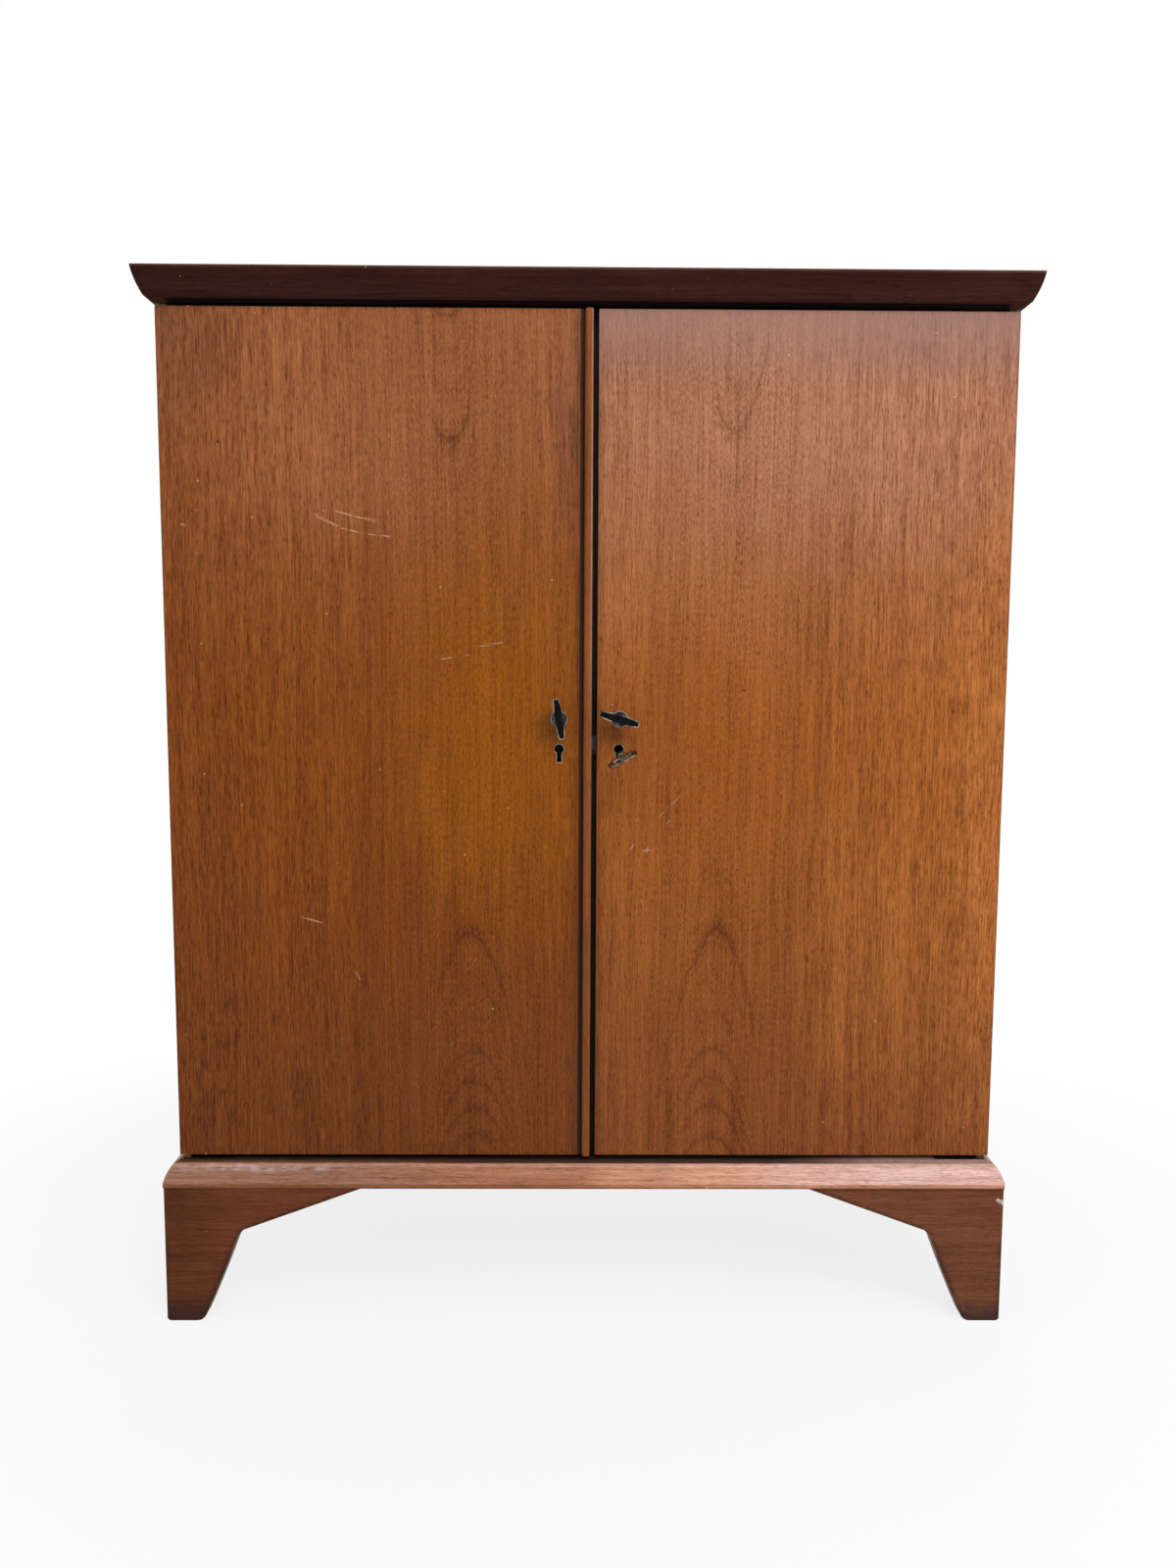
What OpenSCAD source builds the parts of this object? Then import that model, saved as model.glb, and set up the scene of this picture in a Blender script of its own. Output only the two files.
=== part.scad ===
// A two-door bar cabinet in red-brown veneer: a carcass with a centre partition,
// a flared cornice, a moulded base on bracket feet, and doors on pivot hinges,
// each with a turn knob, a latch tongue, a rim lock and two bottle racks.
// Millimetres. X runs to the right, Y to the back, Z up; the floor is Z = 0.

/* [Carcass] */
// Width across the side panels and the closed doors
case_w = 900; // [760:10:1100]
// Height of the carcass, from the base to the cornice
case_h = 918.5; // [800:0.5:1100]
// Depth from the door fronts to the back
case_d = 400; // [340:5:500]
// Thickness of a side panel
side_t = 20; // [16:1:25]
// Thickness of the carcass top and bottom boards
board_t = 20; // [16:1:25]
// Thickness of the centre partition
partition_t = 20; // [19:1:26]
// Thickness of the plywood back
back_t = 6; // [4:1:10]
// How far the back lies inside the rear edges
back_inset = 2; // [0:0.5:6]
// How far the back is let into the side panels
back_rebate = 10; // [4:1:14]

/* [Top] */
// Height of the cornice and of the top panel in it
top_h = 33.5; // [26:0.5:40]
// How far the cornice stands out at its top edge
cornice_out = 18.5; // [14:0.5:30]
// How far the cornice stands out at the lower edge of its face
fascia_out = 8.8; // [6:0.1:12]
// Height of the bevel under the cornice face
soffit_h = 5.5; // [3:0.5:9]
// How far the flat underside reaches past the doors
soffit_out = 1.5; // [0.5:0.5:4]
// Bulge of the cornice face
fascia_bulge = 1.3; // [0.5:0.1:2.5]
// Width of cornice wood inside the line of the doors
cornice_in = 22; // [16:1:40]

/* [Base] */
// Height of the bracket feet
foot_h = 153; // [110:0.5:200]
// Height of the base moulding
moulding_h = 28; // [22:1:40]
// How far the base moulding stands out
moulding_out = 15.2; // [11:0.1:24]
// Width of the bevel on top of the moulding
bevel_out = 6.5; // [4:0.5:8]
// Drop of that bevel
bevel_drop = 4; // [2:0.5:6]
// Height of the upright lower edge of the moulding
fillet_h = 5.5; // [3:0.5:9]
// Bulge of the moulding face
moulding_bulge = 1.1; // [0.5:0.1:2]
// Width of moulding wood inside the line of the doors
moulding_in = 25; // [18:1:40]
// Thickness of the bracket boards
bracket_t = 20; // [14:1:24]
// How far the brackets lie inside the moulding's edge
bracket_inset = 0.8; // [0:0.1:4]
// Width of a foot on the floor
toe_w = 40; // [30:0.5:60]
// Width of a foot at its knee
knee_w = 83; // [70:1:110]
// Height of the knee
knee_z = 102.5; // [70:0.5:105]
// Length of a front bracket, along the front
bracket_front_w = 217; // [160:1:260]
// Length of the other brackets
bracket_side_w = 150; // [115:1:160]
// Bulge of the leg's inner edge
leg_bulge = 1; // [1:0.5:6]
// Radius of the outer corner on the floor
toe_r = 4; // [1:0.5:6]
// Width of a corner block behind the brackets
block_w = 32; // [20:1:45]
// Height of a corner block
block_h = 118; // [80:1:140]
// Width of the rails inside the base
rail_w = 45; // [30:1:70]

/* [Doors] */
// Thickness of a door
door_t = 20; // [18:0.5:24]
// Gap over a door
door_gap = 2.5; // [2:0.1:4]
// Gap under a door
door_gap_low = 5; // [2.5:0.1:5.5]
// Gap between a closed door and the carcass edges
door_back_gap = 2.2; // [2:0.1:5]
// Centre of the bead between the doors
bead_x = 0.5; // [-2:0.1:3]
// Width of that bead
bead_w = 8.6; // [6:0.2:12]
// How far the bead stands out from the doors
bead_proud = 5; // [4:0.2:8]
// Width of the groove beside the bead
quirk_w = 1.8; // [1:0.1:3]
// Depth of that groove
quirk_d = 5; // [2:0.5:10]
// Gap between the bead and the right door
meeting_gap = 5.8; // [3:0.1:8]

/* [Pivot hinges] */
// Distance of the pivot from the door's outer edge
pivot_in = 7; // [6.8:0.1:7.4]
// Distance of the pivot from the door's front
pivot_back = 7; // [6.5:0.1:7.5]
// Radius of the pivot pin
pin_r = 3; // [2:0.1:4]
// Running clearance of the pin, all round
pin_play = 0.05; // [0.02:0.01:0.1]
// Length of the hinge plates
plate_l = 58; // [40:1:80]
// Width of the hinge plates
plate_w = 12; // [10:0.5:12.5]
// Thickness of the hinge plates
plate_t = 3; // [2:0.5:4]
// Radius of the collar that a door turns on
collar_r = 5.2; // [4.5:0.1:5.8]
// How far a pin reaches past its door plate
pin_reach = 5; // [2:0.5:10]

/* [Knobs and latches] */
// Distance of the left knob and keyhole from the middle
left_hole_x = 30; // [28:0.5:33]
// Distance of the right knob and keyhole from the middle
right_hole_x = 34; // [31:0.5:36]
// Height of the knobs above the floor
knob_z = 672; // [664:0.5:690]
// Length of a knob
knob_l = 43; // [36:0.5:50]
// Width of a knob's wing beside the boss
wing_w = 11; // [8:0.5:14]
// Width of a wing at its tip
tip_w = 6.5; // [4:0.5:8]
// Radius of the round boss on a knob
boss_r = 9; // [7:0.5:11]
// How far a knob stands out from the door
knob_out = 24; // [20:0.5:30]
// Thickness of a knob's bar
wing_t = 5; // [4:0.5:7]
// Width of the raised rim round a knob's hollows
rim_w = 1.1; // [0.6:0.1:1.6]
// Depth of those hollows
hollow_d = 1.8; // [0.8:0.1:2.2]
// Depth of the hollow beside the bar, in the boss
lobe_d = 1.3; // [0.6:0.1:1.8]
// Length of the curve from the boss into the neck
neck_curve = 5; // [3:0.5:7]
// Turn of the left knob from upright, clockwise
left_knob_turn = -9; // [-15:1:5]
// Turn of the right knob from upright, clockwise
right_knob_turn = 106; // [95:1:115]
// Radius of a knob spindle
spindle_r = 4; // [3:0.1:5]
// Length of a latch tongue from its spindle
tongue_l = 29; // [28:0.5:31]
// Width of a latch tongue
tongue_w = 10; // [7:0.5:12]
// Thickness of a latch tongue
tongue_t = 3; // [2:0.5:4]
// Gap between the door's inner face and a tongue
tongue_back = 9; // [6:0.5:14]

/* [Locks and key] */
// Height of the keyholes above the floor
keyhole_z = 639; // [633:0.5:644]
// Radius of the round part of a keyhole
keyhole_r = 5; // [4.8:0.1:6]
// Width of a keyhole's slot
slot_w = 5; // [4.4:0.1:7]
// Length of a keyhole from its round centre down
slot_l = 14.5; // [10:0.5:16]
// Width of the metal lining of a keyhole
lining_w = 0.9; // [0.5:0.1:1.5]
// Depth of that lining
lining_d = 4; // [2:0.5:8]
// How far the lining stands out from the door
lining_proud = 0.3; // [0.1:0.1:1]
// Distance from a keyhole to the lock's edge
backset = 18; // [17:0.5:19]
// Width of a lock case
lock_w = 52; // [48:1:60]
// Half the height of a lock case
lock_half_h = 18; // [17.5:0.1:19]
// Depth of a lock case
lock_d = 13; // [12:0.5:15]
// Thickness of its walls
lock_wall = 1.5; // [1:0.1:2]
// Height of a bolt
bolt_h = 9; // [8:0.5:9]
// Thickness of a bolt
bolt_t = 7; // [5:0.5:8]
// Length of a bolt
bolt_l = 42; // [40:1:45]
// Travel of a bolt
bolt_throw = 11; // [8:0.5:11]
// Radius of the key's shank
shank_r = 2.9; // [2:0.1:3]
// Length of the key outside the door
key_out = 48; // [42:1:56]
// Length of the key's bow across the shank
bow_w = 34; // [26:1:38]
// Length of the bow along the shank
bow_l = 23; // [16:1:26]
// Thickness of the bow
bow_t = 3; // [2:0.5:5]
// Turn of the key's bow above level, as it stands in the lock
key_turn = 28; // [20:1:35]
// Width of the metal round the hole in the bow
bow_rim = 5; // [3:0.5:7]
// How far the loose key droops, in degrees
key_droop = 10; // [0:0.5:10]
// How far it leans to the right, in degrees
key_lean = 4; // [0:0.5:4]

/* [Inside] */
// Thickness of a wooden shelf
shelf_t = 16; // [12:1:22]
// Thickness of the glass shelf
glass_t = 6; // [5:1:10]
// Distance of the shelves from the door fronts
shelf_back = 128; // [120:1:180]
// Height of the left serving shelf above the case bottom
serving_z = 400; // [360:5:430]
// Height of the glass shelf above the case bottom
glass_z = 645; // [600:5:700]
// Height of the lower right shelf above the case bottom
lower_shelf_z = 290; // [240:5:330]
// Height of the upper right shelf above the case bottom
upper_shelf_z = 585; // [540:5:640]
// Thickness of the mirror
mirror_t = 4; // [3:0.5:6]
// Radius of a shelf pin
shelf_pin_r = 3; // [2:0.5:4]
// Depth of a pin's hole
shelf_pin_in = 7; // [5:1:9]
// How far a pin stands out
shelf_pin_out = 9; // [6:1:14]

/* [Door racks] */
// Depth of a rack from the door's inner face
rack_d = 92; // [70:1:97]
// Distance of a rack's inner end from the middle
rack_in = 46; // [40:1:70]
// Distance of a rack's outer end from the side panel's inner face
rack_side_gap = 15; // [10:1:40]
// Thickness of a rack's floor and ends
rack_t = 10; // [8:1:14]
// Height of a rack's ends at the door
rack_h = 125; // [100:1:160]
// Height of a rack's ends at the front
rack_front_h = 92; // [75:1:100]
// Height of the rail above a rack's floor
rail_z = 70; // [50:1:80]
// Radius of the rail
rail_r = 4; // [3:0.5:6]
// Height of the lower racks above the case bottom
lower_rack_z = 22; // [15:1:60]
// Height of the upper racks above the case bottom
upper_rack_z = 560; // [540:1:600]

/* [Hidden] */
$fn = 48;
fit = 0.3; // gap where a piece slides or drops in
glue = 0.1; // glue line between boards of one node
past = 1; // how far a cut runs past a face

front_reach = key_out - 1; // the key is what stands furthest forward
front_y = -(case_d - front_reach) / 2;
back_y = front_y + case_d;
door_back_y = front_y + door_t;
carcass_y = door_back_y + door_back_gap;
backing_y = back_y - back_inset - back_t;

half_w = case_w / 2;
inner_x = half_w - side_t;
base_top = foot_h + moulding_h;
case_top = base_top + case_h;
floor_z = base_top + board_t;
ceiling_z = case_top - board_t;
door_z = [base_top + door_gap_low, case_top - door_gap];
left_edge_x = bead_x - bead_w / 2 - quirk_w;
right_edge_x = bead_x + bead_w / 2 + meeting_gap;
bracket_out = moulding_out - bracket_inset;

pivot_x = half_w - pivot_in;
pivot_y = front_y + pivot_back;
tongue_y = door_back_y + tongue_back;
bolt_y = door_back_y + lock_wall + 2;
bolt_z = keyhole_z + 7; // underside of a bolt, clear of the key's shank
bolt_notch_h = 4.8; // clear of the key's bit
strike_t = 1.5;
strike_d = 22;
lip_w = 6;
lip_h = 20;
strike_z = [keyhole_z - 14, knob_z + 32];
tongue_slot_up = 28; // the tip swings down into its slot from above

shelf_y = front_y + shelf_back;
pin_rows = [shelf_y + 35, backing_y - 40];
// Each wooden or glass shelf: which side, height of its underside
left_shelves = [floor_z + serving_z, floor_z + glass_z];
right_shelves = [floor_z + lower_shelf_z, floor_z + upper_shelf_z];
mirror_z = [floor_z + serving_z + shelf_t + 2, ceiling_z - 2];

veneer = "#9a5a32";
solid_wood = "#8a4a2c";
dark_wood = "#47261c";
lining_wood = "#c08a58";
brass = "#a8915c";
dark_brass = "#5e5648";
steel = "#85837e";

// The arc from a to b that bulges by s to the right of that line, or to the left if s < 0
function arc_r(a, b, s) = (norm(b - a) ^ 2 / 4 + s ^ 2) / (2 * s);
function arc_out(a, b) = [b.y - a.y, a.x - b.x] / norm(b - a);
function arc_centre(a, b, s) = (a + b) / 2 - arc_out(a, b) * (arc_r(a, b, s) - s);
// The shortest turn that ends where d degrees does
function short_turn(d) = (d + 540) % 360 - 180;
// Points along that arc, both ends included
function arc_points(a, b, s, n) =
    let (c = arc_centre(a, b, s), r = abs(arc_r(a, b, s)))
    let (from = atan2(a.y - c.y, a.x - c.x), to = atan2(b.y - c.y, b.x - c.x))
    let (turn = short_turn(to - from))
    [for (i = [0:n]) c + r * [cos(from + turn * i / n), sin(from + turn * i / n)]];

// Distance of a knob or keyhole from the middle, by side: -1 left, 1 right
function hole_x(side) = side < 0 ? left_hole_x : right_hole_x;

module span(lo, hi) translate(lo) cube(hi - lo);

// Puts a part drawn for the right half on either side
module on_side(side) mirror([side < 0 ? 1 : 0, 0, 0]) children();

// A cylinder along Y, from y0 to y1
module rod_y(r, y0, y1) translate([0, y0, 0]) rotate([-90, 0, 0]) cylinder(r = r, h = y1 - y0);

// A cylinder along X, from x0 to x1
module rod_x(r, x0, x1) translate([x0, 0, 0]) rotate([0, 90, 0]) cylinder(r = r, h = x1 - x0);

/* Mouldings: a profile has x outwards from the line of the doors and y up */

module cornice_profile() {
    low = [fascia_out, soffit_h];
    high = [cornice_out, top_h];
    rise = soffit_h / (fascia_out - soffit_out);
    reach = cornice_out + 2;
    intersection() {
        polygon([
            [-cornice_in, 0], [soffit_out, 0],
            [reach, rise * (reach - soffit_out)],
            [reach, top_h], [-cornice_in, top_h]
        ]);
        translate(arc_centre(low, high, fascia_bulge))
            circle(r = arc_r(low, high, fascia_bulge), $fn = 720);
    }
}

module base_profile() {
    low = [moulding_out, fillet_h];
    high = [bevel_out, moulding_h - bevel_drop];
    intersection() {
        polygon([
            [-moulding_in, 0], [moulding_out, 0],
            [moulding_out, moulding_h - bevel_drop * moulding_out / bevel_out],
            [0, moulding_h], [-moulding_in, moulding_h]
        ]);
        translate(arc_centre(low, high, moulding_bulge))
            circle(r = arc_r(low, high, moulding_bulge), $fn = 720);
    }
}

// The plan of a run between its mitres: 0 the front run, 1 the right-hand run
module mitre_plan(run) {
    reach = max(cornice_out, moulding_out) + 10;
    depth = max(cornice_in, moulding_in) + 10;
    if (run == 0)
        polygon([
            [-half_w - reach, front_y - reach], [half_w + reach, front_y - reach],
            [half_w - depth, front_y + depth], [-half_w + depth, front_y + depth]
        ]);
    else
        polygon([
            [half_w + reach, front_y - reach], [half_w + reach, back_y],
            [half_w - depth, back_y], [half_w - depth, front_y + depth]
        ]);
}

// A run of moulding at height z, cut to its mitres; the child is the profile
module moulding_run(run, z, h) intersection() {
    translate([0, 0, z - past]) linear_extrude(h + 2 * past) mitre_plan(run);
    if (run == 0)
        translate([-half_w - 50, front_y, z]) mirror([0, 1, 0]) rotate([90, 0, 90])
            linear_extrude(case_w + 100) children();
    else
        translate([half_w, back_y, z]) rotate([90, 0, 0])
            linear_extrude(case_d + 100) children();
}

/* Pivot hinges, drawn for the right-hand door */

// The plate of a pivot, from z up
module pivot_plate(z) translate([pivot_x, pivot_y, z])
    span([pivot_in - 1 - plate_l, -plate_w / 2, 0], [pivot_in - 1, plate_w / 2, plate_t]);

// The recess that takes a plate, open on the side that the plate's face is on
module pivot_recess(z, down) translate([0, 0, down ? 0 : -past])
    for (up = [0, past]) translate([0, 0, up]) pivot_plate(z);

module base_pivot() {
    pivot_plate(base_top - plate_t);
    translate([pivot_x, pivot_y, base_top - 0.5])
        cylinder(r = collar_r, h = door_gap_low - fit + 0.5);
    translate([pivot_x, pivot_y, base_top - 0.5])
        cylinder(r = pin_r, h = door_gap_low + plate_t + pin_reach + 0.5);
}

module top_pivot() {
    pivot_plate(case_top);
    translate([pivot_x, pivot_y, case_top - door_gap + fit])
        cylinder(r = collar_r, h = door_gap - fit + 0.5);
    translate([pivot_x, pivot_y, case_top - door_gap - plate_t - pin_reach])
        cylinder(r = pin_r, h = door_gap + plate_t + pin_reach + 0.5);
}

module pivot_leaves() for (z = [door_z[0], door_z[1] - plate_t]) difference() {
    pivot_plate(z);
    translate([pivot_x, pivot_y, z - past])
        cylinder(r = pin_r + pin_play, h = plate_t + 2 * past);
}

// What a door loses to its hinge: two plate recesses and the holes for the pin ends
module door_hinge_cuts() {
    pivot_recess(door_z[0], false);
    pivot_recess(door_z[1] - plate_t, true);
    for (z = [door_z[0] + plate_t - past, door_z[1] - plate_t - pin_reach - 1])
        translate([pivot_x, pivot_y, z]) cylinder(r = pin_r + 1, h = pin_reach + 1 + past);
}

/* Carcass */

module side_panel(side, pins) on_side(side) color(veneer) difference() {
    span([inner_x, carcass_y, base_top], [half_w, back_y, case_top]);
    span([inner_x - past, backing_y, base_top - past],
        [inner_x + back_rebate, back_y + past, case_top + past]);
    for (z = pins, y = pin_rows) translate([0, y, z - shelf_pin_r])
        rod_x(shelf_pin_r + pin_play, inner_x - past, inner_x + shelf_pin_in + fit);
}

module case_board(z) color(lining_wood)
    span([-inner_x, carcass_y, z], [inner_x, backing_y, z + board_t]);

module back_panel() color(lining_wood) span(
    [-inner_x - back_rebate + fit, backing_y, base_top],
    [inner_x + back_rebate - fit, backing_y + back_t, case_top]);

// The slots that a thrown bolt and a turned tongue enter, drawn for the right side
module strike_slots(side, depth_bolt, depth_tongue) {
    face = partition_t / 2;
    span([face - depth_bolt, bolt_y - 0.5, bolt_z - 0.5],
        [face + past, bolt_y + bolt_t + 0.5, bolt_z + bolt_h + 0.5]);
    span([face - depth_tongue, tongue_y - 0.7, knob_z - tongue_w / 2 - 1.5],
        [face + past, tongue_y + tongue_t + 0.7, knob_z + tongue_slot_up]);
}

function bolt_depth(side) = bolt_throw - (hole_x(side) - backset - partition_t / 2) + 0.8;
function tongue_depth(side) = tongue_l - (hole_x(side) - partition_t / 2) + 0.8;

module strike_plate() {
    face = partition_t / 2;
    span([face - strike_t, carcass_y, strike_z[0]],
        [face, carcass_y + strike_d, strike_z[1]]);
    span([face - lip_w, carcass_y - 1, keyhole_z + 3 - lip_h / 2],
        [face, carcass_y, keyhole_z + 3 + lip_h / 2]);
}

module partition_strikes() color(steel) for (side = [-1, 1]) on_side(side) difference() {
    strike_plate();
    strike_slots(side, bolt_depth(side), tongue_depth(side));
}

module centre_partition() color(lining_wood) difference() {
    span([-partition_t / 2, carcass_y, floor_z], [partition_t / 2, backing_y, ceiling_z]);
    for (side = [-1, 1]) on_side(side) {
        strike_plate();
        strike_slots(side, bolt_depth(side), tongue_depth(side));
        for (z = side < 0 ? left_shelves : right_shelves, y = pin_rows)
            translate([0, y, z - shelf_pin_r])
                rod_x(shelf_pin_r + pin_play, partition_t / 2 - shelf_pin_in - fit,
                    partition_t / 2 + past);
    }
}

/* Top */

module top_panel() color(dark_wood) span(
    [-half_w + cornice_in, front_y + cornice_in, case_top],
    [half_w - cornice_in, back_y, top_z()]);
function top_z() = case_top + top_h;

module cornice_front() color(dark_wood) difference() {
    moulding_run(0, case_top, top_h) cornice_profile();
    for (side = [-1, 1]) on_side(side) pivot_recess(case_top, false);
}

module cornice_end(side) on_side(side) color(dark_wood) difference() {
    moulding_run(1, case_top, top_h) cornice_profile();
    pivot_recess(case_top, false);
}

/* Base */

module base_moulding_front() color(solid_wood) difference() {
    moulding_run(0, foot_h, moulding_h) base_profile();
    for (side = [-1, 1]) on_side(side) pivot_recess(base_top - plate_t, true);
}

module base_moulding_end(side) on_side(side) color(solid_wood) difference() {
    moulding_run(1, foot_h, moulding_h) base_profile();
    pivot_recess(base_top - plate_t, true);
}

module base_rails() color(lining_wood) {
    edge = half_w - moulding_in;
    span([-edge, back_y - rail_w, foot_h], [edge, back_y, base_top]);
    for (x = [-1, 1] * edge / 2) span(
        [x - rail_w / 2, front_y + moulding_in, foot_h],
        [x + rail_w / 2, back_y - rail_w - glue, base_top]);
}

// The outline of a bracket of length w: x inwards from its outer edge, y up
module bracket_outline(w) {
    knee = [knee_w - 3, knee_z - 5];
    slope_start = [knee_w + 4, knee_z + 3];
    leg = arc_points([toe_w, 0], knee, leg_bulge, 8);
    polygon(concat(
        [[0, foot_h], [w, foot_h], slope_start, knee + [1, 2]],
        [for (i = [8:-1:0]) leg[i]],
        [for (a = [0:15:90]) [toe_r - toe_r * sin(a), toe_r - toe_r * cos(a)]]
    ));
}

// The plan of a board between a mitre at the corner and its free end
module board_plan(w) polygon([[0, 0], [w, 0], [w, bracket_t], [bracket_t, bracket_t]]);

// A bracket board along +X from a corner at the origin, its face on the XZ plane
module bracket_board(w) intersection() {
    translate([0, bracket_t, 0]) rotate([90, 0, 0]) linear_extrude(bracket_t) bracket_outline(w);
    translate([0, 0, -past]) linear_extrude(foot_h + 2 * past) board_plan(w);
}

// Two mitred boards; along_x and along_y are their lengths
module bracket_foot(along_x, along_y) color(solid_wood) {
    translate([glue, 0, 0]) bracket_board(along_x);
    translate([0, glue, 0]) mirror([1, -1, 0]) bracket_board(along_y);
}

module foot_at(side, front) translate([
        side * (half_w + bracket_out),
        front ? front_y - bracket_out : back_y, 0])
    mirror([side > 0 ? 1 : 0, 0, 0]) mirror([0, front ? 0 : 1, 0]) children();

module front_foot(side) foot_at(side, true) bracket_foot(bracket_front_w, bracket_side_w);
module rear_foot(side) foot_at(side, false) bracket_foot(bracket_side_w, bracket_side_w);

module foot_corner_blocks() color(lining_wood)
    for (side = [-1, 1], front = [true, false]) foot_at(side, front)
        span([bracket_t + glue, bracket_t + glue, foot_h - block_h],
            [bracket_t + block_w, bracket_t + block_w, foot_h]);

/* Shelves */

// A shelf in one compartment: side, height of its underside, thickness, rear edge
module shelf(side, z, t, rear_y) on_side(side) span(
    [partition_t / 2 + 0.5, shelf_y, z], [inner_x - 0.5, rear_y, z + t]);

module shelf_pins() color(brass) for (side = [-1, 1]) on_side(side)
    for (z = side < 0 ? left_shelves : right_shelves, y = pin_rows)
        translate([0, y, z - shelf_pin_r]) {
            rod_x(shelf_pin_r, partition_t / 2 - shelf_pin_in, partition_t / 2 + shelf_pin_out);
            rod_x(shelf_pin_r, inner_x - shelf_pin_out, inner_x + shelf_pin_in);
        }

module back_mirror() color("#c9d3d6") span(
    [-inner_x + 2, backing_y - mirror_t, mirror_z[0]],
    [-partition_t / 2 - 2, backing_y, mirror_z[1]]);

/* Doors */

// The outline of a keyhole, grown by g all round
module keyhole(g) {
    circle(r = keyhole_r + g);
    translate([-slot_w / 2 - g, -slot_l - g]) square([slot_w + 2 * g, slot_l + g]);
}

// A keyhole cut or lining along Y at a side's keyhole, from y0 to y1
module keyhole_prism(side, g, y0, y1) translate([hole_x(side), y1, keyhole_z])
    rotate([90, 0, 0]) linear_extrude(y1 - y0) keyhole(g);

// What both doors lose to their fittings
module door_cuts(side) {
    door_hinge_cuts();
    keyhole_prism(side, 0, front_y - past, door_back_y + past);
    keyhole_prism(side, lining_w, front_y - past, front_y + lining_d);
    translate([hole_x(side), 0, knob_z]) rod_y(spindle_r + 2, front_y - past, door_back_y + past);
}

module door_panel(side) color(veneer) on_side(side) difference() {
    span([side < 0 ? -left_edge_x : right_edge_x, front_y, door_z[0]],
        [half_w, door_back_y, door_z[1]]);
    door_cuts(side);
}

module meeting_bead() color(solid_wood) translate([0, 0, door_z[0]])
    linear_extrude(door_z[1] - door_z[0]) {
        nose_y = front_y - bead_proud + bead_w / 2;
        translate([bead_x, nose_y]) circle(r = bead_w / 2);
        translate([bead_x - bead_w / 2, nose_y]) square([bead_w, door_back_y - nose_y]);
        translate([left_edge_x, front_y + quirk_d])
            square([quirk_w + 1, door_t - quirk_d]);
    }

module keyhole_lining(side) color(dark_brass) on_side(side) difference() {
    keyhole_prism(side, lining_w, front_y - lining_proud, front_y + lining_d);
    keyhole_prism(side, 0, front_y - past, front_y + lining_d + past);
}

module knob_bush(side) color(dark_brass) on_side(side)
    translate([hole_x(side), 0, knob_z]) difference() {
        union() {
            rod_y(spindle_r + 2, front_y - 1.2, door_back_y);
            rod_y(spindle_r + 3.5, front_y - 1.2, front_y);
        }
        rod_y(spindle_r + pin_play, front_y - 2, door_back_y + past);
    }

/* Locks, drawn for the right-hand door */

function lock_x(side) = hole_x(side) - backset;

module lock_case(side) color(steel) on_side(side) difference() {
    x = lock_x(side);
    z = keyhole_z;
    span([x, door_back_y, z - lock_half_h], [x + lock_w, door_back_y + lock_d, z + lock_half_h]);
    span([x + lock_wall, door_back_y + lock_wall, z - lock_half_h + lock_wall],
        [x + lock_w - lock_wall, door_back_y + lock_d + past, z + lock_half_h - lock_wall]);
    span([x - past, bolt_y - fit, bolt_z - fit],
        [x + lock_wall + past, bolt_y + bolt_t + fit, bolt_z + bolt_h + fit]);
    keyhole_prism(side, 0.4, door_back_y - past, door_back_y + lock_wall + past);
}

module lock_cover(side) color(steel) on_side(side) span(
    [lock_x(side), door_back_y + lock_d, keyhole_z - lock_half_h],
    [lock_x(side) + lock_w, door_back_y + lock_d + lock_wall, keyhole_z + lock_half_h]);

module lock_bolt(side) color(brass) on_side(side) difference() {
    span([lock_x(side), bolt_y, bolt_z], [lock_x(side) + bolt_l, bolt_y + bolt_t, bolt_z + bolt_h]);
    span([hole_x(side) - 2, bolt_y - past, bolt_z - past],
        [hole_x(side) + 11, bolt_y + bolt_t + past, bolt_z + bolt_notch_h]);
}

/* Knobs, spindles and tongues, drawn upright and turned to their rest */

module at_knob(side, turn) translate([side * hole_x(side), 0, knob_z]) rotate([0, turn, 0])
    children();

// The bow-tie bar of a knob, drawn in by g all round, from y0 to y1
module knob_bar(g, y0, y1) {
    tip = tip_w / 2 - g;
    wing = wing_w / 2 - g;
    end = knob_l / 2 - g;
    cut = tip_w / 6;
    translate([0, y1, 0]) rotate([90, 0, 0]) linear_extrude(y1 - y0) for (up = [0, 1])
        mirror([0, up, 0]) polygon([
            [-wing, -past], [wing, -past], [wing, wing_w / 3], [tip, end - cut],
            [tip - cut, end], [-tip + cut, end], [-tip, end - cut], [-wing, wing_w / 3]
        ]);
}

// The waisted neck between a knob's bar and the bush in the door
module knob_neck(y0, y1) translate([0, y0, 0]) rotate([-90, 0, 0]) rotate_extrude()
    polygon(concat(
        [[0, -past], [boss_r - 1.5, -past]],
        arc_points([boss_r - 1.5, 0], [spindle_r + 1.2, neck_curve], neck_curve / -6, 8),
        [
            [spindle_r + 1.2, y1 - y0 - 2.5], [spindle_r + 2.6, y1 - y0 - 1],
            [spindle_r + 2.6, y1 - y0], [0, y1 - y0]
        ]
    ));

module knob(side, turn) color(dark_brass) at_knob(side, turn) {
    face = front_y - knob_out;
    difference() {
        union() {
            knob_bar(0, face, face + wing_t);
            rod_y(boss_r, face, face + wing_t);
        }
        knob_bar(rim_w, face - past, face + hollow_d);
        rod_y(boss_r - rim_w, face - past, face + lobe_d);
    }
    knob_neck(face + wing_t, front_y - 1.2 - fit);
}

module knob_spindle(side) color(steel) translate([side * hole_x(side), 0, knob_z])
    rod_y(spindle_r, front_y - 1.2 - fit, tongue_y);

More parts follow.
